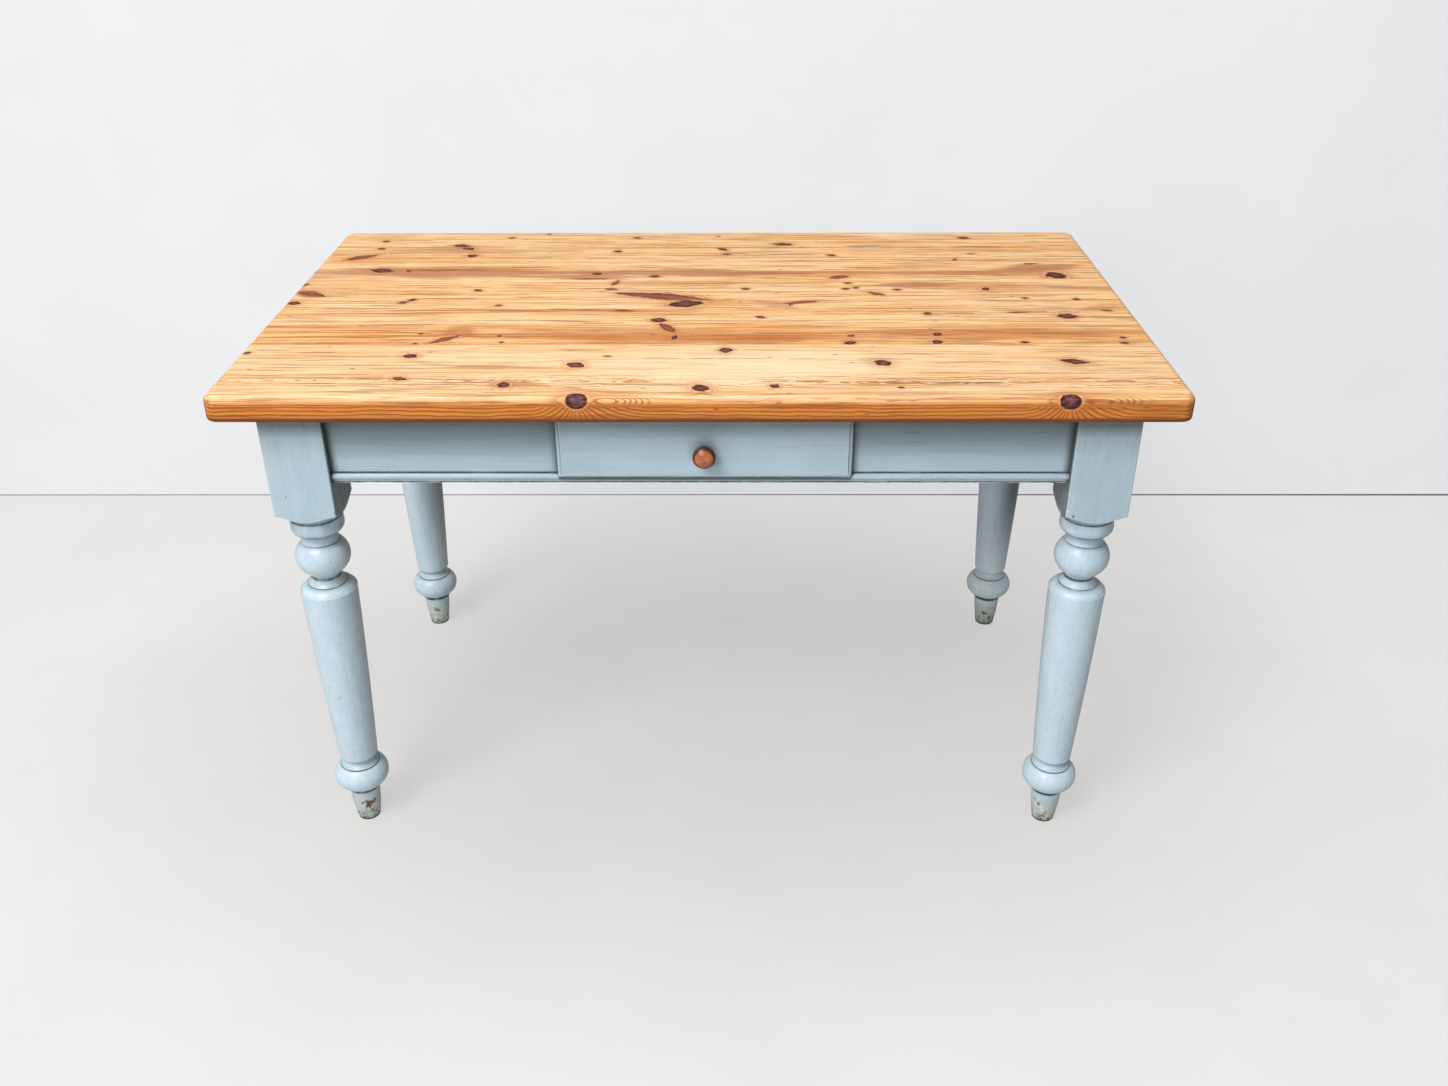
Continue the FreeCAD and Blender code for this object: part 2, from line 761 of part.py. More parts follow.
def make_bead(label, half_span, x, y, angle):
    """The beaded strip planted on the foot of an apron. Its back lies on the apron's face."""
    strip = body(label)
    profile = sketch_on(strip, f"{label}_profile", "YZ_Plane", -half_span)
    outline(profile, [
        (0, 0), (0, size.bead_height), (-size.bead_top_depth, size.bead_height, size.bead_swell),
        (-size.bead_fillet_depth, size.bead_fillet_height), (-size.bead_fillet_depth, 0),
    ])
    pad(strip, profile, half_span * 2)
    place(strip, x=x, y=y, z=apron_bottom, angle=angle)
    part(strip, label)


# ---------------------------------------------------------------- the drawer

# Drawer pieces share one frame: x from the middle, y back from the lip's rear face, z up from the box.
box_half = size.opening_width / 2 - size.drawer_side_clearance
box_height = opening_top - opening_bottom - size.drawer_top_clearance - size.runner_clearance
drawer_y = -apron_face_y - size.lip_clearance
drawer_z = opening_bottom + size.runner_clearance
groove_top = size.bottom_groove_height + size.drawer_bottom_thickness + size.bottom_clearance
back_face = size.drawer_length - size.drawer_back_thickness


def seat_drawer_piece(item, label):
    place(item, x=size.opening_centre, y=drawer_y, z=drawer_z)
    return part(item, label)


def tail_heights():
    """For each front dovetail: its lower and upper height at the root."""
    width = (box_height - size.dovetail_edge * 2 - size.dovetail_gap) / 2
    first = (size.dovetail_edge, size.dovetail_edge + width)
    second = (first[1] + size.dovetail_gap, box_height - size.dovetail_edge)
    return [first, second]


def front_tails():
    """The dovetails at the front of a side, as outlines in (y, z)."""
    root = size.front_core_thickness
    tip = root - size.dovetail_length
    flare = size.dovetail_flare
    return [[(tip, low - flare), (root, low), (root, high), (tip, high + flare)]
            for low, high in tail_heights()]


def back_pins():
    """The pins of the drawer back, as outlines in (y, z). They are wide at the root, inside the box."""
    root, tip = back_face, size.drawer_length
    low, high = groove_top, box_height - size.drawer_back_drop
    width, flare = size.back_pin_width, size.back_pin_flare
    middle = (low + high) / 2
    half = width / 2
    edge = size.back_half_pin_width
    return [
        [(root, low), (tip, low), (tip, low + edge - flare), (root, low + edge)],
        [(root, middle - half), (tip, middle - half + flare), (tip, middle + half - flare),
         (root, middle + half)],
        [(root, high - edge), (tip, high - edge + flare), (tip, high), (root, high)],
    ]


def make_drawer_front():
    """A lipped front: an ovolo runs round the lip, and the core behind it takes the dovetails."""
    front = body("drawer_front")
    half = size.opening_width / 2 + size.lip_side_overlap
    low = -size.runner_clearance - size.lip_bottom_overlap
    high = opening_top - opening_bottom - size.runner_clearance + size.lip_top_overlap
    lip_depth = size.lip_thickness - size.lip_field_step
    lip = sketch_on(front, "lip_outline", "XZ_Plane")
    rounded_rectangle(lip, -half, low, half, high, size.lip_corner_radius)
    slab = pad(front, lip, lip_depth)
    dress(front, "Fillet", slab, edges_at(slab, -lip_depth.value, 1), size.lip_ovolo_radius)
    field = sketch_on(front, "lip_field", "XZ_Plane", lip_depth)
    margin = size.lip_field_margin
    rectangle(field, -half + margin, low + margin, half - margin, high - margin)
    pad(front, field, size.lip_field_step)
    core = sketch_on(front, "front_core", "XZ_Plane")
    rectangle(core, -box_half, 0, box_half, box_height)
    pad(front, core, size.front_core_thickness, reverse=True)
    for name, start in (("left", -box_half), ("right", box_half - size.drawer_side_thickness)):
        sockets = sketch_on(front, f"{name}_sockets", "YZ_Plane", start)
        for corners in front_tails():
            outline(sockets, corners)
        pocket(front, sockets, size.drawer_side_thickness, reverse=True)
    groove = sketch_on(front, "front_groove", "XY_Plane", size.bottom_groove_height)
    inner = box_half - size.drawer_side_thickness + size.bottom_groove_depth
    rectangle(groove, -inner, size.front_core_thickness - size.bottom_groove_depth,
              inner, size.front_core_thickness + OVERCUT)
    pocket(front, groove, groove_top - size.bottom_groove_height, reverse=True)
    lap = sketch_on(front, "bead_lap", "YZ_Plane", -half - OVERCUT)
    bead_depth = (size.bead_top_depth + size.bead_fillet_depth) / 2 + size.bead_swell
    bead_top = apron_bottom + size.bead_height - drawer_z
    rectangle(lap, -(bead_depth + size.bead_lap_clearance - size.lip_clearance), low - OVERCUT,
              OVERCUT, bead_top + size.bead_lap_clearance)
    pocket(front, lap, (half + OVERCUT) * 2, reverse=True)
    hole = sketch_on(front, "knob_hole", "XZ_Plane")
    circle(hole, 0, size.knob_height, size.knob_spigot_diameter + size.joint_clearance * 2)
    pocket(front, hole)
    seat_drawer_piece(front, "drawer_front")


def make_drawer_side(name, start, groove_start):
    """A side with two lapped dovetails at the front and three pin sockets at the back."""
    label = f"drawer_side_{name}"
    side = body(label)
    root = size.front_core_thickness
    board = sketch_on(side, f"{label}_board", "YZ_Plane", start)
    rectangle(board, root, 0, size.drawer_length, box_height)
    pad(side, board, size.drawer_side_thickness)
    tails = sketch_on(side, f"{label}_tails", "YZ_Plane", start)
    for corners in front_tails():
        outline(tails, corners)
    pad(side, tails, size.drawer_side_thickness)
    sockets = sketch_on(side, f"{label}_sockets", "YZ_Plane", start)
    for corners in back_pins():
        outline(sockets, corners)
    pocket(side, sockets, size.drawer_side_thickness, reverse=True)
    groove = sketch_on(side, f"{label}_groove", "YZ_Plane", groove_start)
    rectangle(groove, root - size.bottom_groove_depth, size.bottom_groove_height,
              size.drawer_length + OVERCUT, groove_top)
    pocket(side, groove, size.bottom_groove_depth, reverse=True)
    seat_drawer_piece(side, label)


def panel_pin_places():
    first = (1 - PANEL_PIN_COUNT) / 2
    middle = back_face + size.drawer_back_thickness / 2
    return [(size.panel_pin_spacing * (first + step), middle) for step in range(PANEL_PIN_COUNT)]


def pin_holes(owner, name, height, length):
    holes = sketch_on(owner, name, "XY_Plane", height)
    for x, y in panel_pin_places():
        circle(holes, x, y, size.panel_pin_diameter + size.joint_clearance * 2)
    pocket(owner, holes, length, reverse=True)


def make_drawer_back():
    back = body("drawer_back")
    inner = box_half - size.drawer_side_thickness
    board = sketch_on(back, "back_board", "YZ_Plane", -inner)
    rectangle(board, back_face, groove_top, size.drawer_length, box_height - size.drawer_back_drop)
    pad(back, board, inner * 2)
    pins = sketch_on(back, "back_pins", "YZ_Plane", -box_half)
    for corners in back_pins():
        outline(pins, corners)
    pad(back, pins, box_half * 2)
    pin_holes(back, "back_pin_holes", groove_top, size.panel_pin_bite + size.mortise_end_clearance)
    seat_drawer_piece(back, "drawer_back")


def make_drawer_bottom():
    bottom = body("drawer_bottom")
    panel = sketch_on(bottom, "bottom_panel", "XY_Plane", size.bottom_groove_height)
    half = box_half - size.drawer_side_thickness + size.bottom_groove_depth - size.bottom_clearance
    rectangle(panel, -half, size.front_core_thickness - size.bottom_groove_depth + size.bottom_clearance,
              half, size.drawer_length)
    pad(bottom, panel, size.drawer_bottom_thickness)
    pin_holes(bottom, "panel_pin_holes", size.bottom_groove_height, size.drawer_bottom_thickness)
    seat_drawer_piece(bottom, "drawer_bottom")


def make_bottom_pins():
    """Panel pins driven up through the bottom into the drawer back."""
    pin = body("panel_pin")
    shank, head = size.panel_pin_diameter / 2, size.panel_pin_head_diameter / 2
    length = size.drawer_bottom_thickness + size.bottom_clearance + size.panel_pin_bite
    profile = sketch_on(pin, "panel_pin_profile", "XZ_Plane")
    outline(profile, [
        (0, -size.panel_pin_head_height), (head, -size.panel_pin_head_height), (head, 0), (shank, 0),
        (shank, length - size.panel_pin_point), (0, length),
    ])
    revolve(pin, profile, "V_Axis")
    places = []
    for x, y in panel_pin_places():
        places.append((x + size.opening_centre, y + drawer_y, drawer_z + size.bottom_groove_height, 0))
    copies("drawer_bottom_pins", pin, places)


def make_knob():
    """A turned knob: a spigot through the front, a hollow neck, a rounded rim, a ring and a domed face."""
    knob = body("drawer_knob")
    inside = size.lip_thickness + size.front_core_thickness
    spigot, base = size.knob_spigot_diameter / 2, size.knob_base_diameter / 2
    neck, rim = size.knob_neck_diameter / 2, size.knob_diameter / 2
    ring = rim - size.knob_ring_inset
    shoulder_y = size.knob_neck_length + size.knob_shoulder_length
    rim_y = shoulder_y + size.knob_rim_length
    ring_y = rim_y + size.knob_ring_length
    face_y = ring_y + size.knob_dome_height
    profile = sketch_on(knob, "knob_profile", "XY_Plane")
    outline(profile, [
        (0, inside), (0, -face_y, size.knob_dome_swell), (ring, -ring_y, size.knob_ring_swell),
        (rim, -rim_y), (rim, -shoulder_y, size.knob_shoulder_swell),
        (neck, -size.knob_neck_length, -size.knob_neck_hollow), (base, 0), (spigot, 0), (spigot, inside),
    ])
    revolve(knob, profile, "V_Axis")
    place(knob, x=size.opening_centre, y=drawer_y - size.lip_thickness, z=drawer_z + size.knob_height)
    part(knob, "drawer_knob")


# ---------------------------------------------------------------- what the drawer runs on

def make_runners():
    """On each side: a runner below, a guide beside, a kicker above and a stop behind the drawer."""
    stop_y = drawer_y + size.drawer_length + size.stop_clearance
    for name, centre in runner_centres.items():
        left, right = centre - size.runner_width / 2, centre + size.runner_width / 2
        bar = box(f"runner_{name}_bar", (left, -apron_back_y, apron_bottom),
                  (right, apron_back_y, opening_bottom))
        reach = apron_back_y + size.runner_tenon_length
        half = size.runner_tenon_width / 2
        tenons = box(f"runner_{name}_tenons", (centre - half, -reach, runner_tenon_bottom),
                     (centre + half, reach, runner_tenon_bottom + size.runner_tenon_height))
        part(fuse(f"runner_{name}_piece", [bar, tenons]), f"drawer_runner_{name}")

        if name == "left":
            guide_left, guide_right = left, left + size.guide_width
            stop_left = guide_right
        else:
            guide_left, guide_right = right - size.guide_width, right
            stop_left = guide_left - size.stop_width
        guide = box(f"guide_{name}", (guide_left, -apron_back_y, opening_bottom),
                    (guide_right, apron_back_y, opening_bottom + size.guide_height))
        part(guide, f"drawer_guide_{name}")
        stop = box(f"stop_{name}", (stop_left, stop_y, opening_bottom),
                   (stop_left + size.stop_width, stop_y + size.stop_length,
                    opening_bottom + size.stop_height))
        part(stop, f"drawer_stop_{name}")

        kicker = box(f"kicker_{name}_bar", (left, -apron_back_y, opening_top),
                     (right, apron_back_y, under_top))
        holes = [screw_hole(f"kicker_{name}_hole_{number}", x, y, opening_top, under_top)
                 for number, (x, y) in enumerate(kicker_screws[name], start=1)]
        part(cut(f"kicker_{name}_piece", kicker, holes), f"drawer_kicker_{name}")


def screw_hole(name, x, y, bottom, top):
    hole = document.addObject("Part::Cylinder", name)
    bind(hole, Radius=size.screw_diameter / 2 + size.screw_hole_clearance, Height=as_size(top) - bottom)
    bind(hole, Placement__Base__x=x, Placement__Base__y=y, Placement__Base__z=bottom)
    return hole


# ---------------------------------------------------------------- what holds the top down

def make_button():
    """A turn button: its tongue sits in the apron's slot and a screw holds it to the top."""
    button = body("button")
    half = size.button_width / 2
    tongue_low = -size.button_tongue_drop - size.button_tongue_thickness
    profile = sketch_on(button, "button_profile", "XZ_Plane", -half)
    outline(profile, [
        (-size.button_length, -size.button_thickness), (0, -size.button_thickness), (0, tongue_low),
        (size.button_tongue_length, tongue_low), (size.button_tongue_length, -size.button_tongue_drop),
        (0, -size.button_tongue_drop), (0, 0), (-size.button_length, 0),
    ])
    pad(button, profile, size.button_width)
    hole = sketch_on(button, "button_hole", "XY_Plane")
    circle(hole, -size.button_screw_setback, 0, size.screw_diameter + size.screw_hole_clearance * 2)
    pocket(button, hole)
    return button


def make_screw(name, grip):
    """A round-headed screw seen from its seat: the head below, the shank through the grip and on up."""
    screw = body(name)
    shank = size.screw_diameter / 2
    head = size.screw_head_diameter / 2
    length = as_size(grip) + size.screw_bite
    profile = sketch_on(screw, f"{name}_profile", "XZ_Plane")
    outline(profile, [
        (0, -size.screw_head_height, size.screw_head_swell), (head, 0), (shank, 0),
        (shank, length - size.screw_point), (0, length),
    ])
    revolve(screw, profile, "V_Axis")
    return screw


def make_top_fixings():
    copies("top_buttons", make_button(), [(x, y, under_top, angle) for x, y, angle in button_places])
    button_seat = under_top - size.button_thickness
    copies("button_screws", make_screw("button_screw", size.button_thickness),
           [(x, y, button_seat, 0) for x, y in button_screws])
    copies("kicker_screws", make_screw("kicker_screw", size.top_rail_height),
           [(x, y, opening_top, 0) for x, y in kicker_screws["left"] + kicker_screws["right"]])


# ---------------------------------------------------------------- build and write

make_top()
for leg_label, leg_side, leg_depth in (("leg_front_left", -1, -1), ("leg_front_right", 1, -1),
                                       ("leg_back_left", -1, 1), ("leg_back_right", 1, 1)):
    make_leg(leg_label, leg_side, leg_depth)
make_aprons()
make_front()
make_bead("front_bead", long_span, 0, -apron_face_y, 0)
make_bead("back_bead", long_span, 0, apron_face_y, 180)
make_bead("side_bead_left", short_span, -apron_face_x, 0, -90)
make_bead("side_bead_right", short_span, apron_face_x, 0, 90)
make_drawer_front()
make_drawer_side("left", -box_half, -box_half + size.drawer_side_thickness - size.bottom_groove_depth)
make_drawer_side("right", box_half - size.drawer_side_thickness, box_half - size.drawer_side_thickness)
make_drawer_back()
make_drawer_bottom()
make_bottom_pins()
make_knob()
make_runners()
make_top_fixings()

document.recompute()
faults = [item.Name for item in document.Objects if {"Invalid", "Error"} & set(item.State)]
faults += [item.Label for item in parts if item.Shape.isNull() or not item.Shape.isValid()]
if faults:
    raise RuntimeError("these objects failed: " + ", ".join(faults))

os.makedirs("parts", exist_ok=True)
for item in parts:
    item.Shape.exportStep(f"parts/{item.Label}.step")
    print(f"{item.Label}: {len(item.Shape.Solids)} solid(s), {item.Shape.Volume / 1000:.1f} cm3")
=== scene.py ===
# %% [markdown]
# # A painted pine kitchen table
# The table is built in two places. Its joinery is a solid model, which this script loads as a fixed frame,
# and here every surface gets its finish: waxed, knotty pine on top and worn blue-grey paint below. Most
# solids stay and only get a material. The boards of the top and the legs are modelled again, because light
# catches their rounded edges.

# %% Load the frame
import math
from functools import partialmethod

import bmesh
import bpy
from mathutils import Matrix, Vector


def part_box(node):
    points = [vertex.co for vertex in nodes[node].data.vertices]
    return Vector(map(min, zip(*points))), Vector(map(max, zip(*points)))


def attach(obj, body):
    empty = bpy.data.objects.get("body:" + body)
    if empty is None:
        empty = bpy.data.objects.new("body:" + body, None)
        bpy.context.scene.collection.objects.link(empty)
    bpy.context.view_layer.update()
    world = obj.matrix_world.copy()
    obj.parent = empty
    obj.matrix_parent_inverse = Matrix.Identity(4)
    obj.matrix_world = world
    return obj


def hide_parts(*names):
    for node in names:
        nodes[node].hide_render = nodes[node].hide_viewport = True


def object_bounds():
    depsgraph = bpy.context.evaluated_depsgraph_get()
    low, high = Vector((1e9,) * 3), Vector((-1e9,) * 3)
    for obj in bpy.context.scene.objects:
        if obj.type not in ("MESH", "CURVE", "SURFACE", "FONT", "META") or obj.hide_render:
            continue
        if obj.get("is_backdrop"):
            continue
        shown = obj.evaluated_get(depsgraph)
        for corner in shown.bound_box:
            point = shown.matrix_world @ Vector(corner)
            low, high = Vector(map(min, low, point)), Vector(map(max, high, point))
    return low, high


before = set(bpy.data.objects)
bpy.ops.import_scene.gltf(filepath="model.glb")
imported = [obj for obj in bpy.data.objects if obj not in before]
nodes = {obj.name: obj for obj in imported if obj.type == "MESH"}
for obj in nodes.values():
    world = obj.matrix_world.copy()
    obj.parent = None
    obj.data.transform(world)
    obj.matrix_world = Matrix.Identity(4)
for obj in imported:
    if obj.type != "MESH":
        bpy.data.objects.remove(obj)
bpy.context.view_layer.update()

MM = 0.001

# %% [markdown]
# ## Measuring the frame
# The pieces made here take their sizes from the frame, so they follow the joinery. A box around a solid
# gives its lowest and highest corners, and most dimensions are a difference between two of them. Marks of
# wear have places of their own, which are easier to think of in millimetres, so finishes use those.

# %% Measure the frame
def named(*starts):
    return sorted(name for name in nodes if name.startswith(starts))


top_boards = named("top_board_")
legs = named("leg_")
top_low = Vector(map(min, *(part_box(name)[0] for name in top_boards)))
top_high = Vector(map(max, *(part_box(name)[1] for name in top_boards)))
UNDERSIDE = top_low.z / MM
APRON_INSIDE = Vector((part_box("side_apron_right")[0].x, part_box("back_apron")[0].y)) / MM
BEHIND_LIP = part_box("front_panel_left")[0].y / MM - 0.7
knob_low, knob_high = (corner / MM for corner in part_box("drawer_knob"))
print("top", [round(value, 4) for value in (*top_low, *top_high)])


# %% [markdown]
# ## Colours
# Colours are easiest to judge as the numbers a paint chart or a screen gives, from 0 to 255. Blender's
# shaders work in linear light instead, so each number goes through the standard curve once, here.

# %% Turn chart colours into linear light
def colour(red, green, blue, cover=1.0):
    """A colour for a shader. cover is how much of the layer below it hides."""
    def linear(number):
        share = number / 255
        return share / 12.92 if share <= 0.04045 else ((share + 0.055) / 1.055) ** 2.4

    return (linear(red), linear(green), linear(blue), cover)


# %% [markdown]
# ## A short way to write materials
# A node material is a recipe: a noise feeds a ramp, which feeds a mix. Written with Blender's own calls
# each step takes four or five lines, so two small classes stand in for them. A Recipe makes nodes, and a
# Value is what comes out of one. Values know the usual signs: a * b adds the Math node that multiplies, or
# the Vector Math node where a is a vector. The other methods add the next node behind a value likewise.

# %% Values
def part(letter):
    return property(lambda vector: vector.recipe.node("SeparateXYZ", {0: vector}, letter))


class Value:
    x, y, z = part("X"), part("Y"), part("Z")

    def __init__(self, recipe, socket):
        self.recipe, self.socket = recipe, socket

    def combine(self, operation, second=None, third=None):
        kind = "VectorMath" if self.socket.type == "VECTOR" else "Math"
        return self.recipe.node(kind, {0: self, 1: second, 2: third}, operation=operation)

    def larger(self, other):
        return self.combine("MAXIMUM", other)

    def times_plus(self, factor, added):
        return self.combine("MULTIPLY_ADD", factor, added)

    def dot(self, other):
        return self.recipe.node("VectorMath", {0: self, 1: other}, "Value", operation="DOT_PRODUCT")

    def length(self):
        return self.recipe.node("VectorMath", {0: self}, "Value", operation="LENGTH")

    def noise(self, pitch, detail=2.0, roughness=0.5):
        """Noise from 0 to 1. pitch is how long its lumps are along each axis."""
        inputs = {"Vector": self / pitch, "Scale": 1.0, "Detail": detail, "Roughness": roughness}
        return self.recipe.node("TexNoise", inputs, "Fac")

    def sway(self, pitch, width, detail=2.0):
        """Noise that wanders width from side to side, around nothing."""
        return self.noise(pitch, detail).times_plus(width, -width / 2)

    def scatter(self, pitch):
        """The distance to the nearest of many scattered points, which lie about one pitch apart."""
        return self.recipe.node("TexVoronoi", {"Vector": self / pitch, "Scale": 1.0}, "Distance")

    def span(self, start, end, low=0.0, high=1.0, kind="SMOOTHSTEP"):
        """low before start, high after end, and a smooth step between them."""
        inputs = {"Value": self, "From Min": start, "From Max": end, "To Min": low, "To Max": high}
        return self.recipe.node("MapRange", inputs, interpolation_type=kind)

    def slope(self, start, end, low, high):
        return self.span(start, end, low, high, "LINEAR")

    def mix(self, first, second):
        """The first colour where this is 0, and the second where it is 1."""
        inputs = {"Factor": self, 6: first, 7: second}
        return self.recipe.node("Mix", inputs, 2, data_type="RGBA", clamp_factor=True)

    def covered(self, share, shade):
        return share.mix(self, shade)

    def ramp(self, stops):
        """The colour and the cover of a colour ramp. Each stop is (place, colour).

        A new ramp has two stops already, so only the others are added.
        """
        made = self.recipe.tree.nodes.new("ShaderNodeValToRGB")
        self.recipe.feed(made.inputs[0], self)
        elements = made.color_ramp.elements
        for index, (position, shade) in enumerate(stops):
            element = elements[index] if index < 2 else elements.new(position)
            element.position = position
            element.color = shade
        return [Value(self.recipe, output) for output in made.outputs]

    def bump(self, depth, strength):
        return self.recipe.node("Bump", {"Height": self, "Distance": depth, "Strength": strength})


SIGNS = {"add": "ADD", "sub": "SUBTRACT", "mul": "MULTIPLY", "truediv": "DIVIDE", "pow": "POWER",
         "gt": "GREATER_THAN", "lt": "LESS_THAN", "abs": "ABSOLUTE"}
for sign, operation in SIGNS.items():
    setattr(Value, f"__{sign}__", partialmethod(Value.combine, operation))
print("values know", ", ".join(SIGNS))


# %% Recipes
class Recipe:
    def __init__(self, name, kept_in=bpy.data.materials, shader="BSDF_PRINCIPLED"):
        self.made = kept_in.new(name)
        self.made.use_nodes = True
        self.tree = self.made.node_tree
        self.shader = self.find(shader)

    def find(self, kind):
        return next(node for node in self.tree.nodes if node.type == kind)

    def feed(self, socket, value):
        """Links an output of another node, or puts a number or a colour on the socket itself."""
        value = getattr(value, "socket", value)
        if isinstance(value, bpy.types.NodeSocket):
            self.tree.links.new(value, socket)
        elif value is not None:
            socket.default_value = value

    def node(self, kind, inputs, output=0, **settings):
        made = self.tree.nodes.new("ShaderNode" + kind)
        for setting, value in settings.items():
            setattr(made, setting, value)
        for key, value in inputs.items():
            self.feed(made.inputs[key], value)
        return Value(self, made.outputs[output])

    def place(self):
        """Where a point is on the object, in millimetres."""
        return self.node("TexCoord", {}, "Object") * ((1 / MM,) * 3)

    def join(self, x, y, z):
        return self.node("CombineXYZ", {0: x, 1: y, 2: z})

    def geometry(self, output):
        return self.node("NewGeometry", {}, output)

    def finish(self, **inputs):
        for name, value in inputs.items():
            self.feed(self.shader.inputs[name.replace("_", " ")], value)
        print(f"{self.made.name}: {len(self.tree.nodes)} nodes")
        return self.made


# %% [markdown]
# ## Pine, as it grows
# A board is a slice of a tree. Growth rings are cylinders round the pith, so the distance from the pith,
# divided by the width of one year, gives rings that look right on every face of the board at once. They
# are straight lines where the slice is far from the pith, and tall flames where it runs close to it. Each
# ring is pale early wood that darkens slowly and stops short at the end of the summer.
#
# A knot is where a branch went through. The grain flows round it, so near a knot the point is pushed back
# towards the knot's own line before the rings are read, which spreads the lines apart on both sides.
#
# A mark is (x, y, length, width, turn) in millimetres and degrees. Long, thin marks are spikes, branches
# that were cut lengthwise. Those with a height and a thickness too are bosses, big knots on the rim.

# %% Give every mark its distance
THROUGH = 1e6
POINTED = 1.25
POINT_CURVE = 1.6
SLENDER = 2.3
GRAIN_REACH = 2.8
GRAIN_SPREAD = 0.6


def kind_of(mark):
    if len(mark) > 5:
        return "boss"
    return "spike" if mark[2] > SLENDER * mark[3] else "knot"


def distance_to(point, mark):
    """How far a point is from a mark's middle, where 1 is the mark's edge.

    Round marks are ovals. Longer ones, where a branch was cut lengthwise, come to a point at both ends.
    """
    x, y, length, width, turn = mark[:5]
    height, thickness = mark[5:] or (0, None)
    middle = Vector((x, y, height))
    cosine, sine = math.cos(math.radians(turn)), math.sin(math.radians(turn))

    def share(direction, size):
        scaled = Vector(direction) / (size / 2)
        return point.dot(scaled) - middle.dot(scaled)

    along = share((cosine, sine, 0), length)
    across = share((-sine, cosine, 0), width)
    if not thickness and length >= POINTED * width:
        return abs(along) ** POINT_CURVE + abs(across)
    square = along.times_plus(along, across * across)
    if thickness:
        upward = share((0, 0, 1), thickness)
        square = upward.times_plus(upward, square)
    return square.combine("SQRT")


def nearest(point, marks):
    """The distance to the nearest mark, and how far all of them push the grain across the board."""
    closest, push = None, 0.0
    for mark in marks:
        distance = distance_to(point, mark)
        closest = distance if closest is None else closest.combine("MINIMUM", distance)
        pull = distance.span(0.2, GRAIN_REACH, GRAIN_SPREAD, 0.0)
        push = pull.times_plus(point.y - mark[1], push)
    return closest, push


# %% [markdown]
# ## The finish of the top
# The boards come from different trees, so each has its own pith, ring width and warmth. What marks them is
# kept in three lists in millimetres on the table: knots, which are dark and push the grain aside; stains,
# soft red or orange heartwood, and on the front board one pale painted highlight where the light glares on
# the wax; and hairlines, thin dark streaks where resin or a glue line shows.

# %% Pine shades
PINE_STOPS = [(0.0, colour(250, 216, 170)), (0.28, colour(246, 204, 150)),
              (0.6, colour(233, 174, 110)), (1.0, colour(190, 110, 50))]
RAW_STOPS = [(0.0, colour(226, 200, 156)), (0.5, colour(210, 176, 126)), (1.0, colour(184, 140, 92))]
SUMMER_WOOD = colour(176, 98, 44)
AMBER = colour(214, 128, 46)
DARK_AMBER = colour(130, 60, 20)
RED_HEART = colour(164, 92, 62)
PENCILLED = colour(138, 74, 36)
# A painted highlight: the pale glare of the light on the wax across the front board.
FRONT_GLARE = colour(250, 228, 194)
HAIRLINE = colour(92, 50, 30)
KNOT_SPECK = colour(146, 88, 66)
KNOT_STOPS = [
    (0.0, colour(124, 68, 56)), (0.13, colour(98, 50, 43)), (0.25, colour(46, 20, 18)),
    (0.335, colour(54, 24, 19)), (0.37, colour(160, 92, 52, 0.7)), (0.43, colour(238, 180, 124, 0.45)),
    (0.52, colour(190, 112, 58, 0.38)), (1.0, colour(205, 140, 84, 0.0)),
]
BOSS_STOPS = [
    (0.0, colour(92, 68, 82)), (0.18, colour(76, 44, 54)), (0.30, colour(48, 22, 24)),
    (0.335, colour(84, 40, 26)), (0.36, colour(214, 146, 92, 0.75)), (0.39, colour(236, 176, 120, 0.45)),
    (0.44, colour(190, 110, 50, 0.35)), (0.9, colour(196, 116, 50, 0.0)),
]
SPIKE_STOPS = [
    (0.0, colour(150, 84, 64)), (0.20, colour(128, 64, 48)), (0.29, colour(78, 36, 28)),
    (0.33, colour(92, 44, 30, 0.85)), (0.37, colour(180, 108, 60, 0.5)),
    (0.48, colour(194, 120, 64, 0.3)), (1.0, colour(205, 140, 84, 0.0)),
]

# Each kind of mark has its shades and how ragged its edge is, as a share of its size.
MARK_LOOKS = {"spike": (SPIKE_STOPS, 1.2), "knot": (KNOT_STOPS, 1.15), "boss": (BOSS_STOPS, 0.16)}

# %% [markdown]
# On the long edges the slice is square to the rings, which run level there. Below a boss they fan out, and
# to the right of it they close into arcs, as they do where a branch pushed the wood aside while it grew.
# A pair such as LONG_EDGE says where a change starts and where it is complete, in millimetres.

# %% Growth rings
LONG_EDGE = (362, 368)
LEVEL_BELOW = (761, 756)
RIM_RING = 6.2
RIM_FIRST = 11.5
RIM_CRISPNESS = 0.4
FAN_RAYS = 3.4
ARC_RINGS = 6.0


def rim_rings(point, drawn, bosses):
    """The rings on the long edges.

    The angle round a boss is the same along a ray, so where it is added the lines turn into rays.
    """
    height = point.z + drawn.sway((130, 60, 60), 12) + drawn.sway((34, 30, 12), 4.5)
    rings = (height - UNDERSIDE) / RIM_RING
    fan = RIM_FIRST
    for boss in bosses:
        right = point.x - boss[0]
        aside = right.larger(right * -1.5)
        rings = rings * aside.span(6, 90)
        fan = (point.z - boss[5]).combine("ARCTAN2", aside).times_plus(FAN_RAYS, fan)
    return rings + fan


def arcs_of(boss):
    """The oval to the right of a boss where its rings close into arcs."""
    return (boss[0] + 36, boss[1], 100, 34, 0, boss[5], 30)


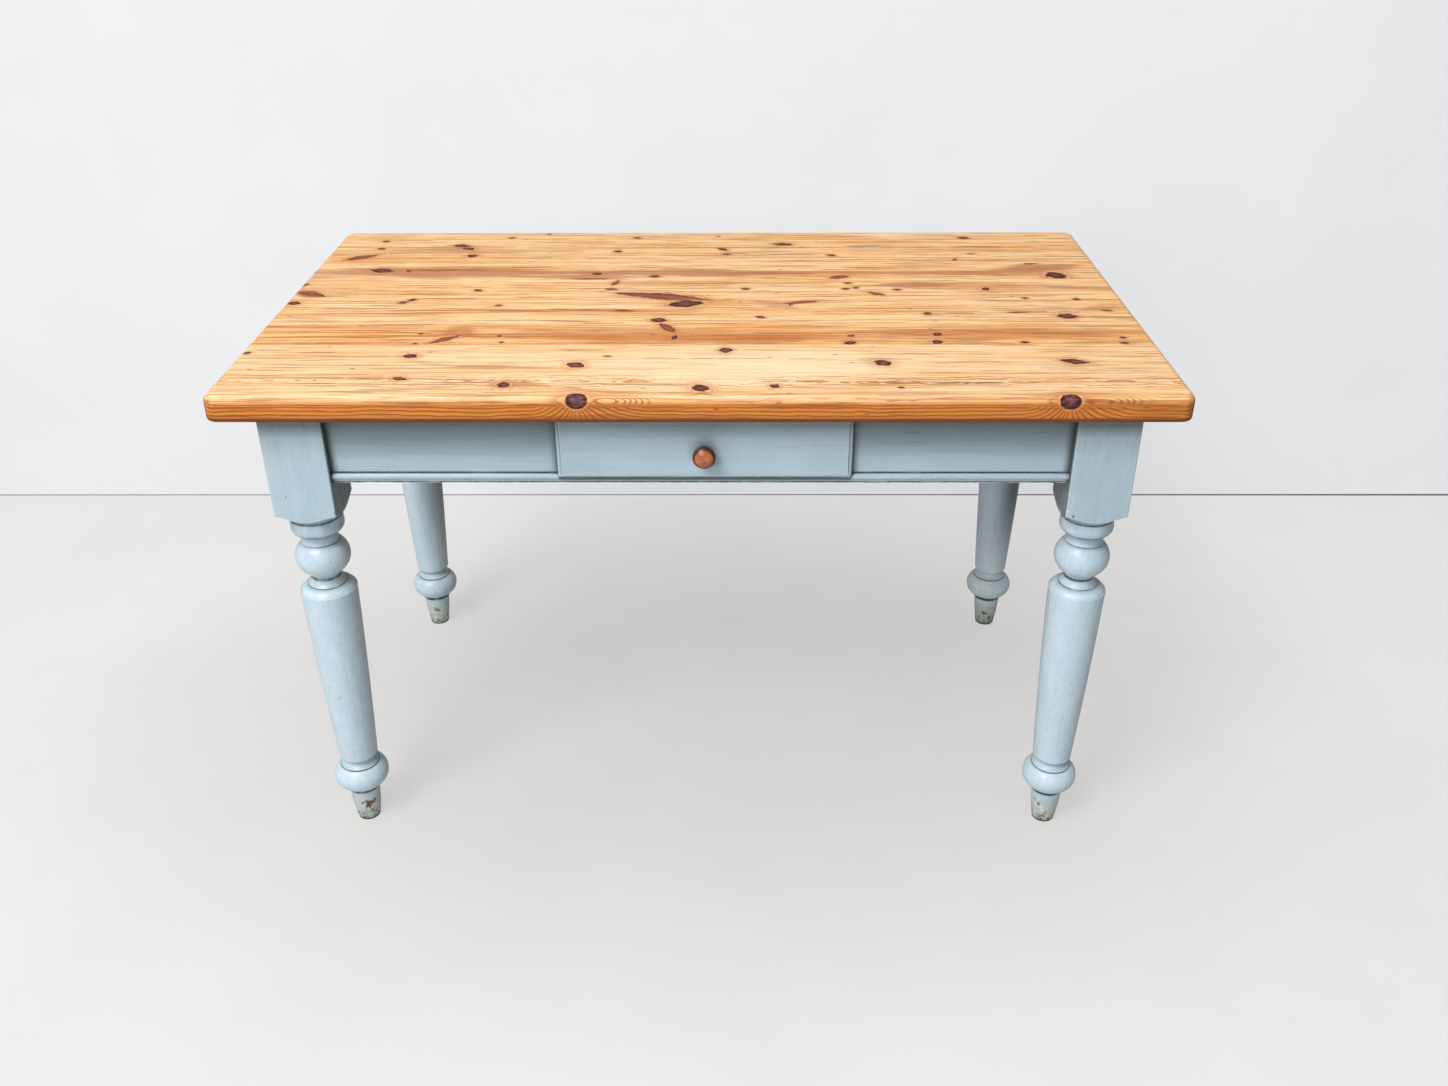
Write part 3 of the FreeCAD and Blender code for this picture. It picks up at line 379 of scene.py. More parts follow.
def growth_rings(point, drawn, pith, ring_width, lift, level_share, bosses):
    """How much late wood there is at a point.

    lift adds whole rings, which closes them round knots. level_share is 1 on the long edges of the top.
    """
    y = point.y + drawn.sway((70, 14, 14), 5)
    z = point.z + drawn.sway((420, 60, 60), 24) + drawn.sway((30, 20, 20), 8)
    years = point.recipe.join(0.0, y - pith[0], z - pith[1]).length() / ring_width
    if lift is not None:
        years = years + lift
    for boss in bosses:
        years = years + distance_to(point, arcs_of(boss)).span(0.1, 1.5, ARC_RINGS, 0.0)
    if level_share is not None:
        years = level_share.times_plus(rim_rings(point, drawn, bosses) - years, years)
    season = years.combine("FRACT")
    late = season.span(0.4, 0.88) * season.span(0.93, 1.0, 1.0, 0.0)
    if level_share is None:
        return late
    return late ** level_share.times_plus(RIM_CRISPNESS, 1.0)


def clearness(point, flowing, drawn, pith, near_knot, rim, level_share, bosses):
    """How plainly the rings show. They come and go, except near the pith, at knots and on the rim."""
    clear = drawn.noise((260, 9, 9)).span(0.35, 0.65, 0.1, 0.62).larger(near_knot * 0.8)
    clear = clear.larger(abs(flowing.y - pith[0]).span(12, 30, 0.85, 0.0)).larger(rim * 0.85)
    clear = clear * drawn.noise((90, 6, 6)).span(0.3, 0.6, 0.3, 1.0)
    clear = clear.larger(level_share * 0.74)
    for boss in bosses:
        clear = clear.larger(rim * abs(point.x - boss[0]).span(26, 70, 0.95, 0.0))
        clear = clear.larger(distance_to(point, arcs_of(boss)).span(0.9, 1.5, 0.85, 0.0))
    return clear


# %% Stains, hairlines and marks
MARK_RANGE = 3.0


def lay_stains(wood, point, ragged, stains):
    for *oval, share, shade in stains:
        edge = distance_to(point, oval) + ragged
        wood = wood.covered(edge.span(0.5, 1.15, share, 0.0), shade)
    return wood


def lay_hairlines(wood, point, drawn, hairlines):
    drift = drawn.sway((45, THROUGH, THROUGH), 6)
    broken = drawn.noise((38, 400, THROUGH), 3.0).span(0.36, 0.56, 0.15, 1.0)
    for x_start, x_end, y_start, y_end, width in hairlines:
        middle, half = (x_start + x_end) / 2, (x_end - x_start) / 2
        run = point.x.slope(x_start, x_end, y_start, y_end)
        line = abs(point.y - (run + drift)).span(width * 0.15, width * 0.8, 0.85, 0.0)
        line = line * abs(point.x - middle).span(half * 0.75, half, 1.0, 0.0)
        wood = wood.covered(line * broken, HAIRLINE)
    return wood


def lay_marks(wood, point, distance, kind):
    stops, roughness = MARK_LOOKS[kind]
    edge = (distance + point.sway((12, 4, 4), roughness, 4.0)) / MARK_RANGE
    shade, cover = edge.ramp(stops)
    specks = point.noise((9, 3, 3)).span(0.46, 0.66, 0.0, 0.6)
    return wood.covered(cover, shade.covered(specks, KNOT_SPECK))


# %% [markdown]
# The flat of the top was scrubbed and waxed over and over, so it is pale. Its rim was only ever handled.
# It is dark amber, with dirt where it turns round to the ends. Towards its underside it darkens, and a
# dark line runs along the lower arris: both are painted shade, where the rim turns away from the light.

# %% The rim
RIM_HEIGHTS = (769.5, 758)
ENDS = (637, 642)


def handled_rim(wood, place, rim, late):
    wood = wood.covered(rim * 0.9, AMBER)
    # Painted shade: the rim darkens towards its underside, with a dark line along the lower arris.
    wood = wood.covered(place.z.span(UNDERSIDE + 14, UNDERSIDE + 1, 0.0, 0.25), DARK_AMBER)
    wood = wood.covered(place.z.span(UNDERSIDE + 8, UNDERSIDE + 4.5, 0.0, 0.9), HAIRLINE)
    wood = wood.covered(abs(place.x).span(*ENDS, 0.0, 0.65) * rim, PENCILLED)
    return wood.covered(late, rim.mix(SUMMER_WOOD, DARK_AMBER))


# %% Pine recipe
# Each board reads the noise at a place of its own, so that no two boards have the same streaks.
SEED_STEPS = Vector((911, 57, 31))
SEED_RUN = 77
KNOT_RINGS = 3.2
# The thinnest streaks are (pitch, where in the noise they start, how dark they are).
PENCIL_LINES = [((150, 4.6, 4.6), 0.59, 0.62), ((95, 3.4, 3.4), 0.6, 0.55)]


def pine(name, pith, ring_width, warmth, seed, knots=(), stains=(), hairlines=(), along="x",
         shades=PINE_STOPS, roughness=0.45, edge=None, figure=1.0):
    """Waxed pine. pith is (y, z) of the middle of the tree and warmth moves a whole board to orange.

    edge is where the flat top turns into its rim, and figure is how strongly the board is streaked.
    """
    recipe = Recipe(name)
    point = place = recipe.place()
    if along == "y":
        point = recipe.join(place.y, place.x, place.z)
    drawn = point + SEED_STEPS * seed

    measured = []
    for kind in MARK_LOOKS:
        marks = [mark for mark in knots if kind_of(mark) == kind]
        if marks:
            measured.append((*nearest(point, marks), kind))
    flowing, near_knot = point, 0.0
    for distance, push, kind in measured:
        flowing = flowing - recipe.join(0.0, push, 0.0)
        if kind != "boss":
            near_knot = distance.span(1.0, GRAIN_REACH, 1.0, 0.0).larger(near_knot)

    bosses = [mark for mark in knots if kind_of(mark) == "boss"]
    rim, level_share = 0.0, None
    if edge is not None:
        rim = place.z.span(*edge)
        level_share = abs(place.y).span(*LONG_EDGE) * place.z.span(*LEVEL_BELOW)
    lift = near_knot * KNOT_RINGS if near_knot else None
    late = growth_rings(flowing, drawn, pith, ring_width, lift, level_share, bosses)
    late = late * clearness(point, flowing, drawn, pith, near_knot, rim, level_share or 0.0, bosses)

    moving = flowing + (SEED_RUN * seed, 0, 0)
    fibres = moving.noise((60, 0.8, 0.8), 3.0, 0.6)
    streaks = moving.noise((240, 4.6, 4.6), 4.0, 0.62)
    bands = moving.noise((520, 17, 17))
    patches = drawn.noise((210, 60, 60))
    tone = (bands.slope(0.3, 0.7, -0.22 * figure, 0.25 * figure)
            + streaks.slope(0.3, 0.72, -0.3 * figure, 0.42 * figure)
            + patches.slope(0.3, 0.7, -0.14, 0.16) + warmth)
    wood, _ = tone.ramp(shades)
    if edge is not None:
        wood = handled_rim(wood, place, rim, late)
    else:
        wood = wood.covered(late * 0.6, SUMMER_WOOD)
    wood = wood.covered(fibres.span(0.4, 0.75, 0.0, 0.3), SUMMER_WOOD)
    threads = moving.noise((120, 1.9, 1.9), 3.0, 0.6)
    wood = wood.covered(threads.span(0.55, 0.74, 0.0, 0.5), SUMMER_WOOD)
    for pitch, start, share in PENCIL_LINES:
        lines = moving.noise(pitch, 1.5).span(start, start + 0.04, 0.0, share * figure)
        wood = wood.covered(lines, PENCILLED)

    ragged = moving.sway((150, 5, 5), 1.5, 4.0) + drawn.sway((60, 30, 30), 0.5)
    wood = lay_stains(wood, flowing, ragged, stains)
    wood = lay_hairlines(wood, point, drawn, hairlines)
    wood = wood.covered(drawn.scatter((74, 27, 27)).span(0.03, 0.075, 0.75, 0.0), HAIRLINE)
    for distance, _, kind in measured:
        wood = lay_marks(wood, point, distance, kind)
    if edge is not None:
        wood = wood.covered(place.z < UNDERSIDE + 0.4, tone.ramp(RAW_STOPS)[0])

    normal = (fibres * 0.6 - late * 0.5).bump(0.00012, 0.6)
    gloss = (patches + late).span(0.2, 1.2, roughness - 0.05, roughness + 0.1)
    return recipe.finish(Base_Color=wood, Roughness=gloss, Normal=normal, Specular_IOR_Level=0.14)


# %% [markdown]
# ## Marks on the seven boards
# Marks are listed from the back board to the front one. One long spike is listed twice, because it lies
# along the joint of two boards. A stain is an oval with its share and its shade, and a hairline is
# (start x, end x, start y, end y, width).

# %% Knots, stains and hairlines
KNOTS = {
    1: [(-562, 314, 13, 10, 0), (-344, 334, 15, 8, 10), (-282, 357, 9, 7, 0), (-124, 334, 16, 8, -15),
        (130, 294, 34, 16, -4), (447, 331, 26, 12, -18), (-425, 288, 34, 15, -12), (18, 342, 8, 5, 0)],
    2: [(-412, 275, 34, 16, -45), (-560, 272, 15, 12, -60), (-582, 222, 62, 17, 31), (-396, 231, 16, 13, 0),
        (-152, 254, 17, 10, -20), (27, 265, 24, 11, -38), (34, 237, 20, 8, 0), (210, 231, 18, 10, -30),
        (414, 207, 16, 6, 65), (447, 238, 20, 5, 0)],
    3: [(-530, 151, 40, 20, -8), (-486, 150, 12, 9, 0), (-176, 133, 18, 12, 0), (-82, 120, 20, 12, 0),
        (-182, 107, 66, 7, 0), (535, 184, 26, 9, 10), (565, 122, 32, 26, -50), (216, 115, 36, 15, 20)],
    4: [(-142, 87, 26, 9, 70), (-146, 55, 22, 9, -8), (-355, 51, 17, 10, -30), (-636, 80, 14, 10, 0),
        (-612, 33, 56, 15, -22), (-67, 22, 156, 27, -13), (65, 57, 15, 9, 0), (222, 57, 16, 8, 15),
        (238, 62, 12, 9, 30), (227, 85, 15, 8, 0), (302, 53, 15, 9, 0), (268, 33, 32, 12, -32),
        (441, 56, 12, 11, 60)],
    5: [(-67, 22, 156, 27, -13), (-27, -13, 60, 28, 14), (-449, 6, 17, 10, 25), (-461, -6, 17, 10, 30),
        (-312, -20, 13, 8, 0), (-628, -8, 22, 17, -15), (-65, -84, 26, 17, -10), (150, -6, 62, 9, 12),
        (134, -14, 18, 7, 70), (86, -72, 16, 9, -30), (336, -57, 14, 10, 0), (472, -52, 32, 6, 3),
        (542, -69, 32, 20, -3), (606, -45, 20, 7, -10), (494, 12, 13, 7, 0), (572, 7, 12, 9, 0),
        (-120, -43, 34, 8, -6)],
    6: [(-50, -117, 46, 15, -58), (-38, -157, 17, 9, 80), (-367, -164, 52, 13, 39), (-405, -180, 8, 5, 0),
        (-405, -140, 8, 6, 0), (339, -144, 15, 12, -30), (335, -175, 14, 14, 0), (215, -150, 12, 8, 30),
        (211, -178, 20, 14, 20), (458, -176, 15, 9, 0), (601, -158, 11, 8, 0), (598, -179, 14, 8, 0),
        (-283, -175, 8, 6, 0), (-290, -150, 8, 5, 0)],
    7: [(-401, -228, 17, 15, -10), (-168, -261, 28, 19, -25), (36, -206, 22, 17, 10),
        (250, -254, 22, 18, -35), (512, -249, 38, 18, -15), (-398, -309, 22, 12, -20),
        (-256, -330, 16, 17, -40), (4, -342, 22, 18, -35), (101, -335, 15, 12, -30),
        (266, -340, 9, 6, 0), (-156, -369, 28, 23, 0, 764, 21), (481, -370, 27, 22, 0, 763, 20),
        (-128, -229, 14, 5, -5), (-632, -216, 12, 8, 0)],
}
STAINS = {
    1: [(-400, 262, 300, 60, -4, 0.35, AMBER)],
    2: [(-430, 262, 340, 36, -3, 0.4, SUMMER_WOOD), (-520, 205, 260, 50, 0, 0.35, AMBER)],
    3: [(-420, 140, 640, 62, -1, 0.62, RED_HEART), (-40, 138, 520, 44, -1, 0.7, RED_HEART),
        (330, 138, 620, 24, 0, 0.6, RED_HEART), (540, 160, 170, 56, 10, 0.62, RED_HEART),
        (-200, 118, 260, 26, 0, 0.6, RED_HEART)],
    4: [(-618, 34, 64, 34, -25, 0.85, RED_HEART), (330, 76, 200, 28, 2, 0.72, RED_HEART),
        (-70, 84, 300, 34, 0, 0.35, RED_HEART), (470, 62, 320, 60, 0, 0.4, SUMMER_WOOD)],
    5: [(110, -18, 90, 40, -30, 0.4, RED_HEART), (-130, -44, 260, 18, -3, 0.35, HAIRLINE),
        (600, -30, 90, 30, 20, 0.3, SUMMER_WOOD)],
    6: [(-60, -150, 700, 74, -1, 0.5, SUMMER_WOOD), (-352, -132, 56, 52, -55, 0.5, RED_HEART),
        (400, -140, 460, 70, 0, 0.45, SUMMER_WOOD), (60, -160, 300, 46, 0, 0.4, SUMMER_WOOD)],
    # Board 7's first oval is a painted highlight, the pale glare of the light on the wax.
    7: [(60, -262, 620, 150, 0, 0.42, FRONT_GLARE), (-236, -330, 90, 26, 0, 0.5, SUMMER_WOOD),
        (330, -362, 620, 24, 0, 0.25, SUMMER_WOOD)],
}
HAIRLINES = {
    1: [(-520, 640, 281, 278, 2.0)],
    2: [(-640, 640, 276, 273, 2.2), (300, 430, 205, 200, 3.0), (-640, -60, 217, 216, 1.5),
        (-260, 120, 212, 212, 1.5)],
    3: [(-240, -110, 106, 105, 3.0), (-480, -350, 152, 152, 3.0), (-640, 60, 158, 156, 1.8)],
    4: [(-40, 60, 8, 4, 4.0), (-220, -140, 61, 60, 2.2), (-460, -330, 64, 66, 1.8), (-300, 0, 20, 16, 1.6)],
    5: [(-582, -438, -31, -35, 3.0), (-240, -95, -34, -48, 2.6), (340, 410, -57, -56, 3.2),
        (0, 110, -71, -73, 1.8), (160, 290, -48, -50, 2.0), (455, 520, -51, -49, 3.0),
        (-180, -110, -98, -96, 2.6)],
    6: [(300, 400, -182, -184, 2.6), (-480, -380, -128, -142, 2.2), (-640, -300, -176, -178, 1.5)],
    7: [(-565, -505, -214, -214, 2.6), (-120, 330, -236, -240, 1.8), (-560, -220, -306, -313, 2.4),
        (-205, -148, -336, -342, 3.0), (90, 460, -320, -324, 2.8), (240, 420, -326, -325, 2.6),
        (-640, -560, -207, -206, 2.0)],
}

# Each board has the (y, z) of its pith, the width of a ring, its warmth and its figure.
BOARD_TREES = {
    1: ((520, 640), 7.5, 0.24, 0.8), 2: ((60, 690), 8.0, 0.26, 0.85), 3: ((330, 600), 7.0, 0.30, 0.85),
    4: ((-60, 640), 8.5, 0.30, 0.8), 5: ((-190, 660), 8.0, 0.22, 0.8), 6: ((-300, 640), 9.0, 0.46, 0.8),
    7: ((-318, 740), 3.6, 0.15, 0.7),
}
print(sum(map(len, KNOTS.values())), "knots,", sum(map(len, HAIRLINES.values())), "hairlines")


# %% [markdown]
# ## Building a mesh
# New pieces start as a bmesh, a mesh that is edited by operators. Finished ones get smooth faces and hard
# edges, and a Weighted Normal modifier keeps their big faces flat.

# %% Turn a bmesh into a finished piece
SMOOTH_LIMIT = math.radians(32)


def everything(mesh):
    return mesh.verts[:] + mesh.edges[:] + mesh.faces[:]


def into_scene(data):
    made = bpy.data.objects.new(data.name, data)
    bpy.context.scene.collection.objects.link(made)
    return made


def to_object(mesh, name, material):
    data = bpy.data.meshes.new(name)
    mesh.to_mesh(data)
    mesh.free()
    data.materials.append(material)
    return into_scene(data)


def make_piece(mesh, name, material, body, replaced):
    bmesh.ops.recalc_face_normals(mesh, faces=mesh.faces)
    for face in mesh.faces:
        face.smooth = True
    for edge in mesh.edges:
        edge.smooth = len(edge.link_faces) == 2 and edge.calc_face_angle() < SMOOTH_LIMIT
    piece = to_object(mesh, name, material)
    weighted = piece.modifiers.new("even_shading", "WEIGHTED_NORMAL")
    weighted.keep_sharp = True
    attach(piece, body)
    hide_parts(replaced)
    print(f"{name}: {len(piece.data.polygons)} faces")


def bevel(mesh, edges, width, segments):
    bmesh.ops.bevel(mesh, geom=edges, offset=width, offset_type="OFFSET", segments=segments,
                    profile=0.5, affect="EDGES", clamp_overlap=True, material=-1)


# %% [markdown]
# ## The top
# The maker glued seven boards into one slab and then rounded its edges all the way round, so that is how
# the mesh is made too: a block is bevelled at its corners, at its upper edge and at its lower edge, and
# only then cut into boards. Each board's long edges are eased by a hair, which leaves the fine line that
# shows between boards when the wood has dried.

# %% Round the slab
CORNER_ROUND = 18 * MM
UPPER_ROUND = 11 * MM
LOWER_ROUND = 4 * MM
SEAM_EASE = 0.35 * MM
LEVEL = 1e-5


def glued_slab():
    slab = bmesh.new()
    bmesh.ops.create_cube(slab, size=1)
    bmesh.ops.scale(slab, vec=top_high - top_low, verts=slab.verts)
    bmesh.ops.translate(slab, vec=(top_high + top_low) / 2, verts=slab.verts)
    upright = [edge for edge in slab.edges if abs(edge.verts[0].co.z - edge.verts[1].co.z) > LEVEL]
    bevel(slab, upright, CORNER_ROUND, 10)
    for height, width, segments in ((top_high.z, UPPER_ROUND, 9), (top_low.z, LOWER_ROUND, 4)):
        rim = [edge for edge in slab.edges if all(abs(vert.co.z - height) < LEVEL for vert in edge.verts)]
        bevel(slab, rim, width, segments)
    return slab


slab = glued_slab()
print("slab", len(slab.faces), "faces")


# %% [markdown]
# A cut with bisect_plane leaves an open edge. The edges it returns form one loop, which is closed with a
# single face: the glued edge of the board.

# %% Saw the slab into boards
def saw(mesh, where, direction):
    cut = bmesh.ops.bisect_plane(mesh, geom=everything(mesh), plane_co=where, plane_no=direction,
                                 clear_outer=True)
    loop = [item for item in cut["geom_cut"] if isinstance(item, bmesh.types.BMEdge)]
    bmesh.ops.holes_fill(mesh, edges=loop, sides=0)


for name in top_boards:
    number = int(name.rsplit("_", 1)[1])
    low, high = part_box(name)
    board = slab.copy()
    sawn = []
    if low.y > top_low.y + LEVEL:
        saw(board, low, (0, -1, 0))
        sawn.append(low.y)
    if high.y < top_high.y - LEVEL:
        saw(board, high, (0, 1, 0))
        sawn.append(high.y)
    seams = [edge for edge in board.edges
             if any(all(abs(vert.co.y - line) < LEVEL for vert in edge.verts) for line in sawn)]
    bevel(board, seams, SEAM_EASE, 1)
    pith, ring_width, warmth, figure = BOARD_TREES[number]
    finish = pine(f"waxed_pine_{number}", pith, ring_width, warmth, number, KNOTS[number],
                  STAINS[number], HAIRLINES[number], edge=RIM_HEIGHTS, figure=figure)
    make_piece(board, f"pine_board_{number}", finish, "table", name)
slab.free()


# %% [markdown]
# ## Old paint
# The legs, aprons and drawer front carry several coats of blue-grey eggshell. Brushed paint isn't one flat
# colour: it is a little thicker in some strokes, and hard edges are rubbed through to the pale undercoat.
# Corners are painted darker too, as painted shade. Blender can find both places by itself. The Ambient
# Occlusion node is dark in corners, and the true normal differs from a Bevel node's rounded normal on
# hard edges.
#
# Shade and light that the lamps here don't give are painted in at places of their own: painted shadow
# under the overhang of the top, beside the legs and the drawer, under the drawer's lip and on the sides
# of the back legs that face away from the window, and painted shade in the grooves and corners. The legs
# are painted paler below the head, as painted light. Aprons and the drawer front are painted only where
# they show, so their paint stops at a limit.

# %% Paint shades
PAINT = colour(181, 202, 214)
PAINT_SHADE = colour(168, 189, 201)
PAINT_LIGHT = colour(206, 226, 238)
LIT_RING_PAINT = colour(232, 248, 255)
UNDERCOAT = colour(232, 232, 222)
# Painted shade, for corners, hollows and grooves.
CREASE_SHADE = colour(50, 58, 58)
BARE_PATCH = colour(106, 82, 52)
OLD_DIRT = colour(58, 54, 48)
FOOT_GREY = colour(184, 190, 178)
# Painted shadow, under the top, beside the legs and the drawer, and on the shaded sides of the legs.
DEEP_SHADOW = colour(44, 52, 44)
RAW_WOOD = (colour(214, 180, 128), colour(184, 142, 92))

# %% Painted shadow and bare wood, by their places
OVERHANG_SHADOW_TO = 712
BESIDE_LEG = (493, 505)
BESIDE_DRAWER = (201, 214)
LIP_LINE = (201, 204)
LIP_ENDS = (199, 202)
BEAD_TOP = (624, 628)
DRAWER_MIDDLE = 7.5


def beside_leg_and_drawer(point):
    """Painted shadow in the upright corners of the front, beside the legs and beside the drawer."""
    drawer = abs(point.x - DRAWER_MIDDLE)
    outside = drawer > BESIDE_DRAWER[0] - 1
    soft = drawer.span(*BESIDE_DRAWER, 0.5, 0.0)
    line = drawer.span(*LIP_LINE, 0.9, 0.0)
    return abs(point.x).span(*BESIDE_LEG, 0.0, 0.62).larger(outside * soft.larger(line))


def under_lip(point):
    """Painted shade on the part of the front bead where the lip of the drawer shuts against it."""
    below = abs(point.x - DRAWER_MIDDLE).span(*LIP_ENDS, 0.75, 0.0) * point.z.span(*BEAD_TOP)
    return below * (point.y < 0.0)


def inside_aprons(point):
    """The faces of aprons, rails and panels that look into the table."""
    return (abs(point.x) < APRON_INSIDE.x + 0.3) * (abs(point.y) < APRON_INSIDE.y + 0.3)


def behind_lip(point):
    return point.y > BEHIND_LIP


# %% [markdown]
# The legs get the most wear. Below the square head the paint is dented, and it is painted paler there as
# painted light. The feet have taken the most knocks. Each leg has its own list of chips, as
# (x, y, z, size, cover) in millimetres on the table, followed by the shade where the chip isn't just dirt.

# %% Chips and grooves of the legs
# Grooves of the legs that are painted dark as shade, as (height, width) in millimetres.
QUIRKS = [(555.5, 2.2), (533, 3.4), (514.8, 1.1), (457.5, 4.5), (444.9, 1.1), (109.7, 1.1), (63.5, 6.5)]
CHIPS = {
    "leg_front_left": [
        (-541, -309, 35, 15, 1.0, BARE_PATCH), (-550, -308, 33, 7, 0.8, UNDERCOAT),
        (-531, -305, 38, 8, 0.9, BARE_PATCH), (-557, -306, 35, 5, 0.9), (-524, -296, 36, 5, 0.9),
        (-536, -308, 20, 7, 0.7), (-563, -301, 28, 7, 0.8), (-533, -303, 12, 8, 0.8),
        (-546, -309, 24, 4, 0.8), (-560, -304, 14, 6, 0.9, BARE_PATCH), (-552, -307, 12, 9, 0.6),
        (-549, -327, 521, 4, 0.6), (-543, -328, 528, 3, 0.6), (-566, -321, 489, 5, 0.7),
        (-530, -321, 494, 4, 0.6), (-573, -316, 487, 5, 0.6), (-552, -324, 256, 5, 0.45),
        (-560, -323, 330, 5, 0.25), (-595, -333, 664, 4, 0.5), (-507, -333, 579, 3, 0.7, BARE_PATCH),
        (-571, -333, 604, 3, 0.5), (-560, -322, 410, 12, 0.5, PAINT_LIGHT),
        (-545, -326, 340, 12, 0.6, PAINT_LIGHT), (-556, -323, 285, 9, 0.6, PAINT_LIGHT),
    ],
    "leg_front_right": [
        (534, -307, 36, 6, 0.85), (529, -303, 44, 5, 0.8, BARE_PATCH), (540, -308, 12, 7, 0.8),
        (548, -309, 22, 4, 0.6), (530, -322, 505, 4, 0.5), (540, -326, 487, 3, 0.5),
        (507, -333, 583, 4, 0.9, UNDERCOAT), (516, -333, 575, 4, 0.7), (521, -322, 417, 4, 0.5),
        (548, -328, 430, 4, 0.3), (556, -321, 250, 10, 0.5, PAINT_LIGHT), (592, -333, 700, 4, 0.4),
    ],
    "leg_back_left": [(-549, 268, 36, 10, 0.8, BARE_PATCH), (-541, 266, 22, 6, 0.8)],
    "leg_back_right": [(540, 268, 30, 12, 0.9, BARE_PATCH), (556, 269, 18, 8, 0.8)],
}

# %% Wear on edges and legs
LEG_X = 549
HEAD_FOOT = (556, 574)
# Painted light: the legs are painted paler below the head, fading out between these heights.
PALER_BELOW = (470, 556)
DENTED_BELOW = (540, 580)
# Painted light: the lower ring of one back leg is painted paler between these heights, as though lit.
LIT_RING_LEG, LIT_RING_HEIGHTS = "leg_back_right", (105, 230)
# Painted shade on the side of each back leg away from the window: its share, and the heights it fades over.
SHADED_SIDE = {"leg_back_left": 0.45, "leg_back_right": 0.86}
SHADED_FROM = (110, 330)


def wear_edges(paint, point, corner, lowest, through):
    """Hard edges show the undercoat and, where paint is worn through, the wood."""
    rounded = point.recipe.node("Bevel", {"Radius": 2.2 * MM}, samples=8)
    bend = rounded.dot(point.recipe.geometry("True Normal"))
    edge = bend.span(0.99, 0.86) * corner.span(0.75, 0.95)
    rubbed = point.noise((11, 11, 17), 3.0, 0.65).span(0.36, 0.56)
    under = UNDERCOAT
    if through:
        under = point.noise((7, 7, 9)).span(0.5, 0.62).mix(UNDERCOAT, BARE_PATCH)
    return paint.covered(edge * rubbed * ((point.z > lowest) * 0.9), under)


def shade_leg(paint, point, leg):
    """Painted shade where a head faces the aprons, and on a back leg's side away from the window."""
    facing = point.recipe.geometry("True Normal").x
    inward = (facing * (point.x * (-1 / LEG_X))).span(0.6, 0.95, 0.0, 0.62)
    paint = paint.covered(inward * point.z.span(*HEAD_FOOT), DEEP_SHADOW)
    if leg in SHADED_SIDE:
        shaded = facing.span(-0.7, 0.7, 0.0, SHADED_SIDE[leg])
        paint = paint.covered(shaded * point.z.span(*SHADED_FROM), DEEP_SHADOW)
    return paint


def wear_foot(paint, point):
    """The foot is grey, flaked to primer and wood, and darkest where it meets the floor."""
    paint = paint.covered(point.z.span(40, 58, 0.6, 0.0), FOOT_GREY)
    primer = point.noise((9, 9, 7), 3.0, 0.65).span(0.56, 0.6)
    paint = paint.covered(primer * point.z.span(30, 56, 0.7, 0.0), UNDERCOAT)
    flakes = point.noise((6.5, 6.5, 6.5), 4.0, 0.7) - point.z.span(0.0, 62.0, 0.51, 0.86)
    paint = paint.covered(flakes * 30.0, BARE_PATCH)
    return paint.covered(point.z.span(1.0, 5.0, 0.95, 0.0), OLD_DIRT)


def chip(paint, point, chips):
    for x, y, z, size, cover, *other in chips:
        ragged = point.sway((size * 0.55,) * 3, size * 2.6, 3.0)
        reach = (point - (x, y, z)).length() + ragged
        shade = other[0] if other else OLD_DIRT
        paint = paint.covered(reach.span(size * 0.44, size * 0.5, cover, 0.0), shade)
    return paint


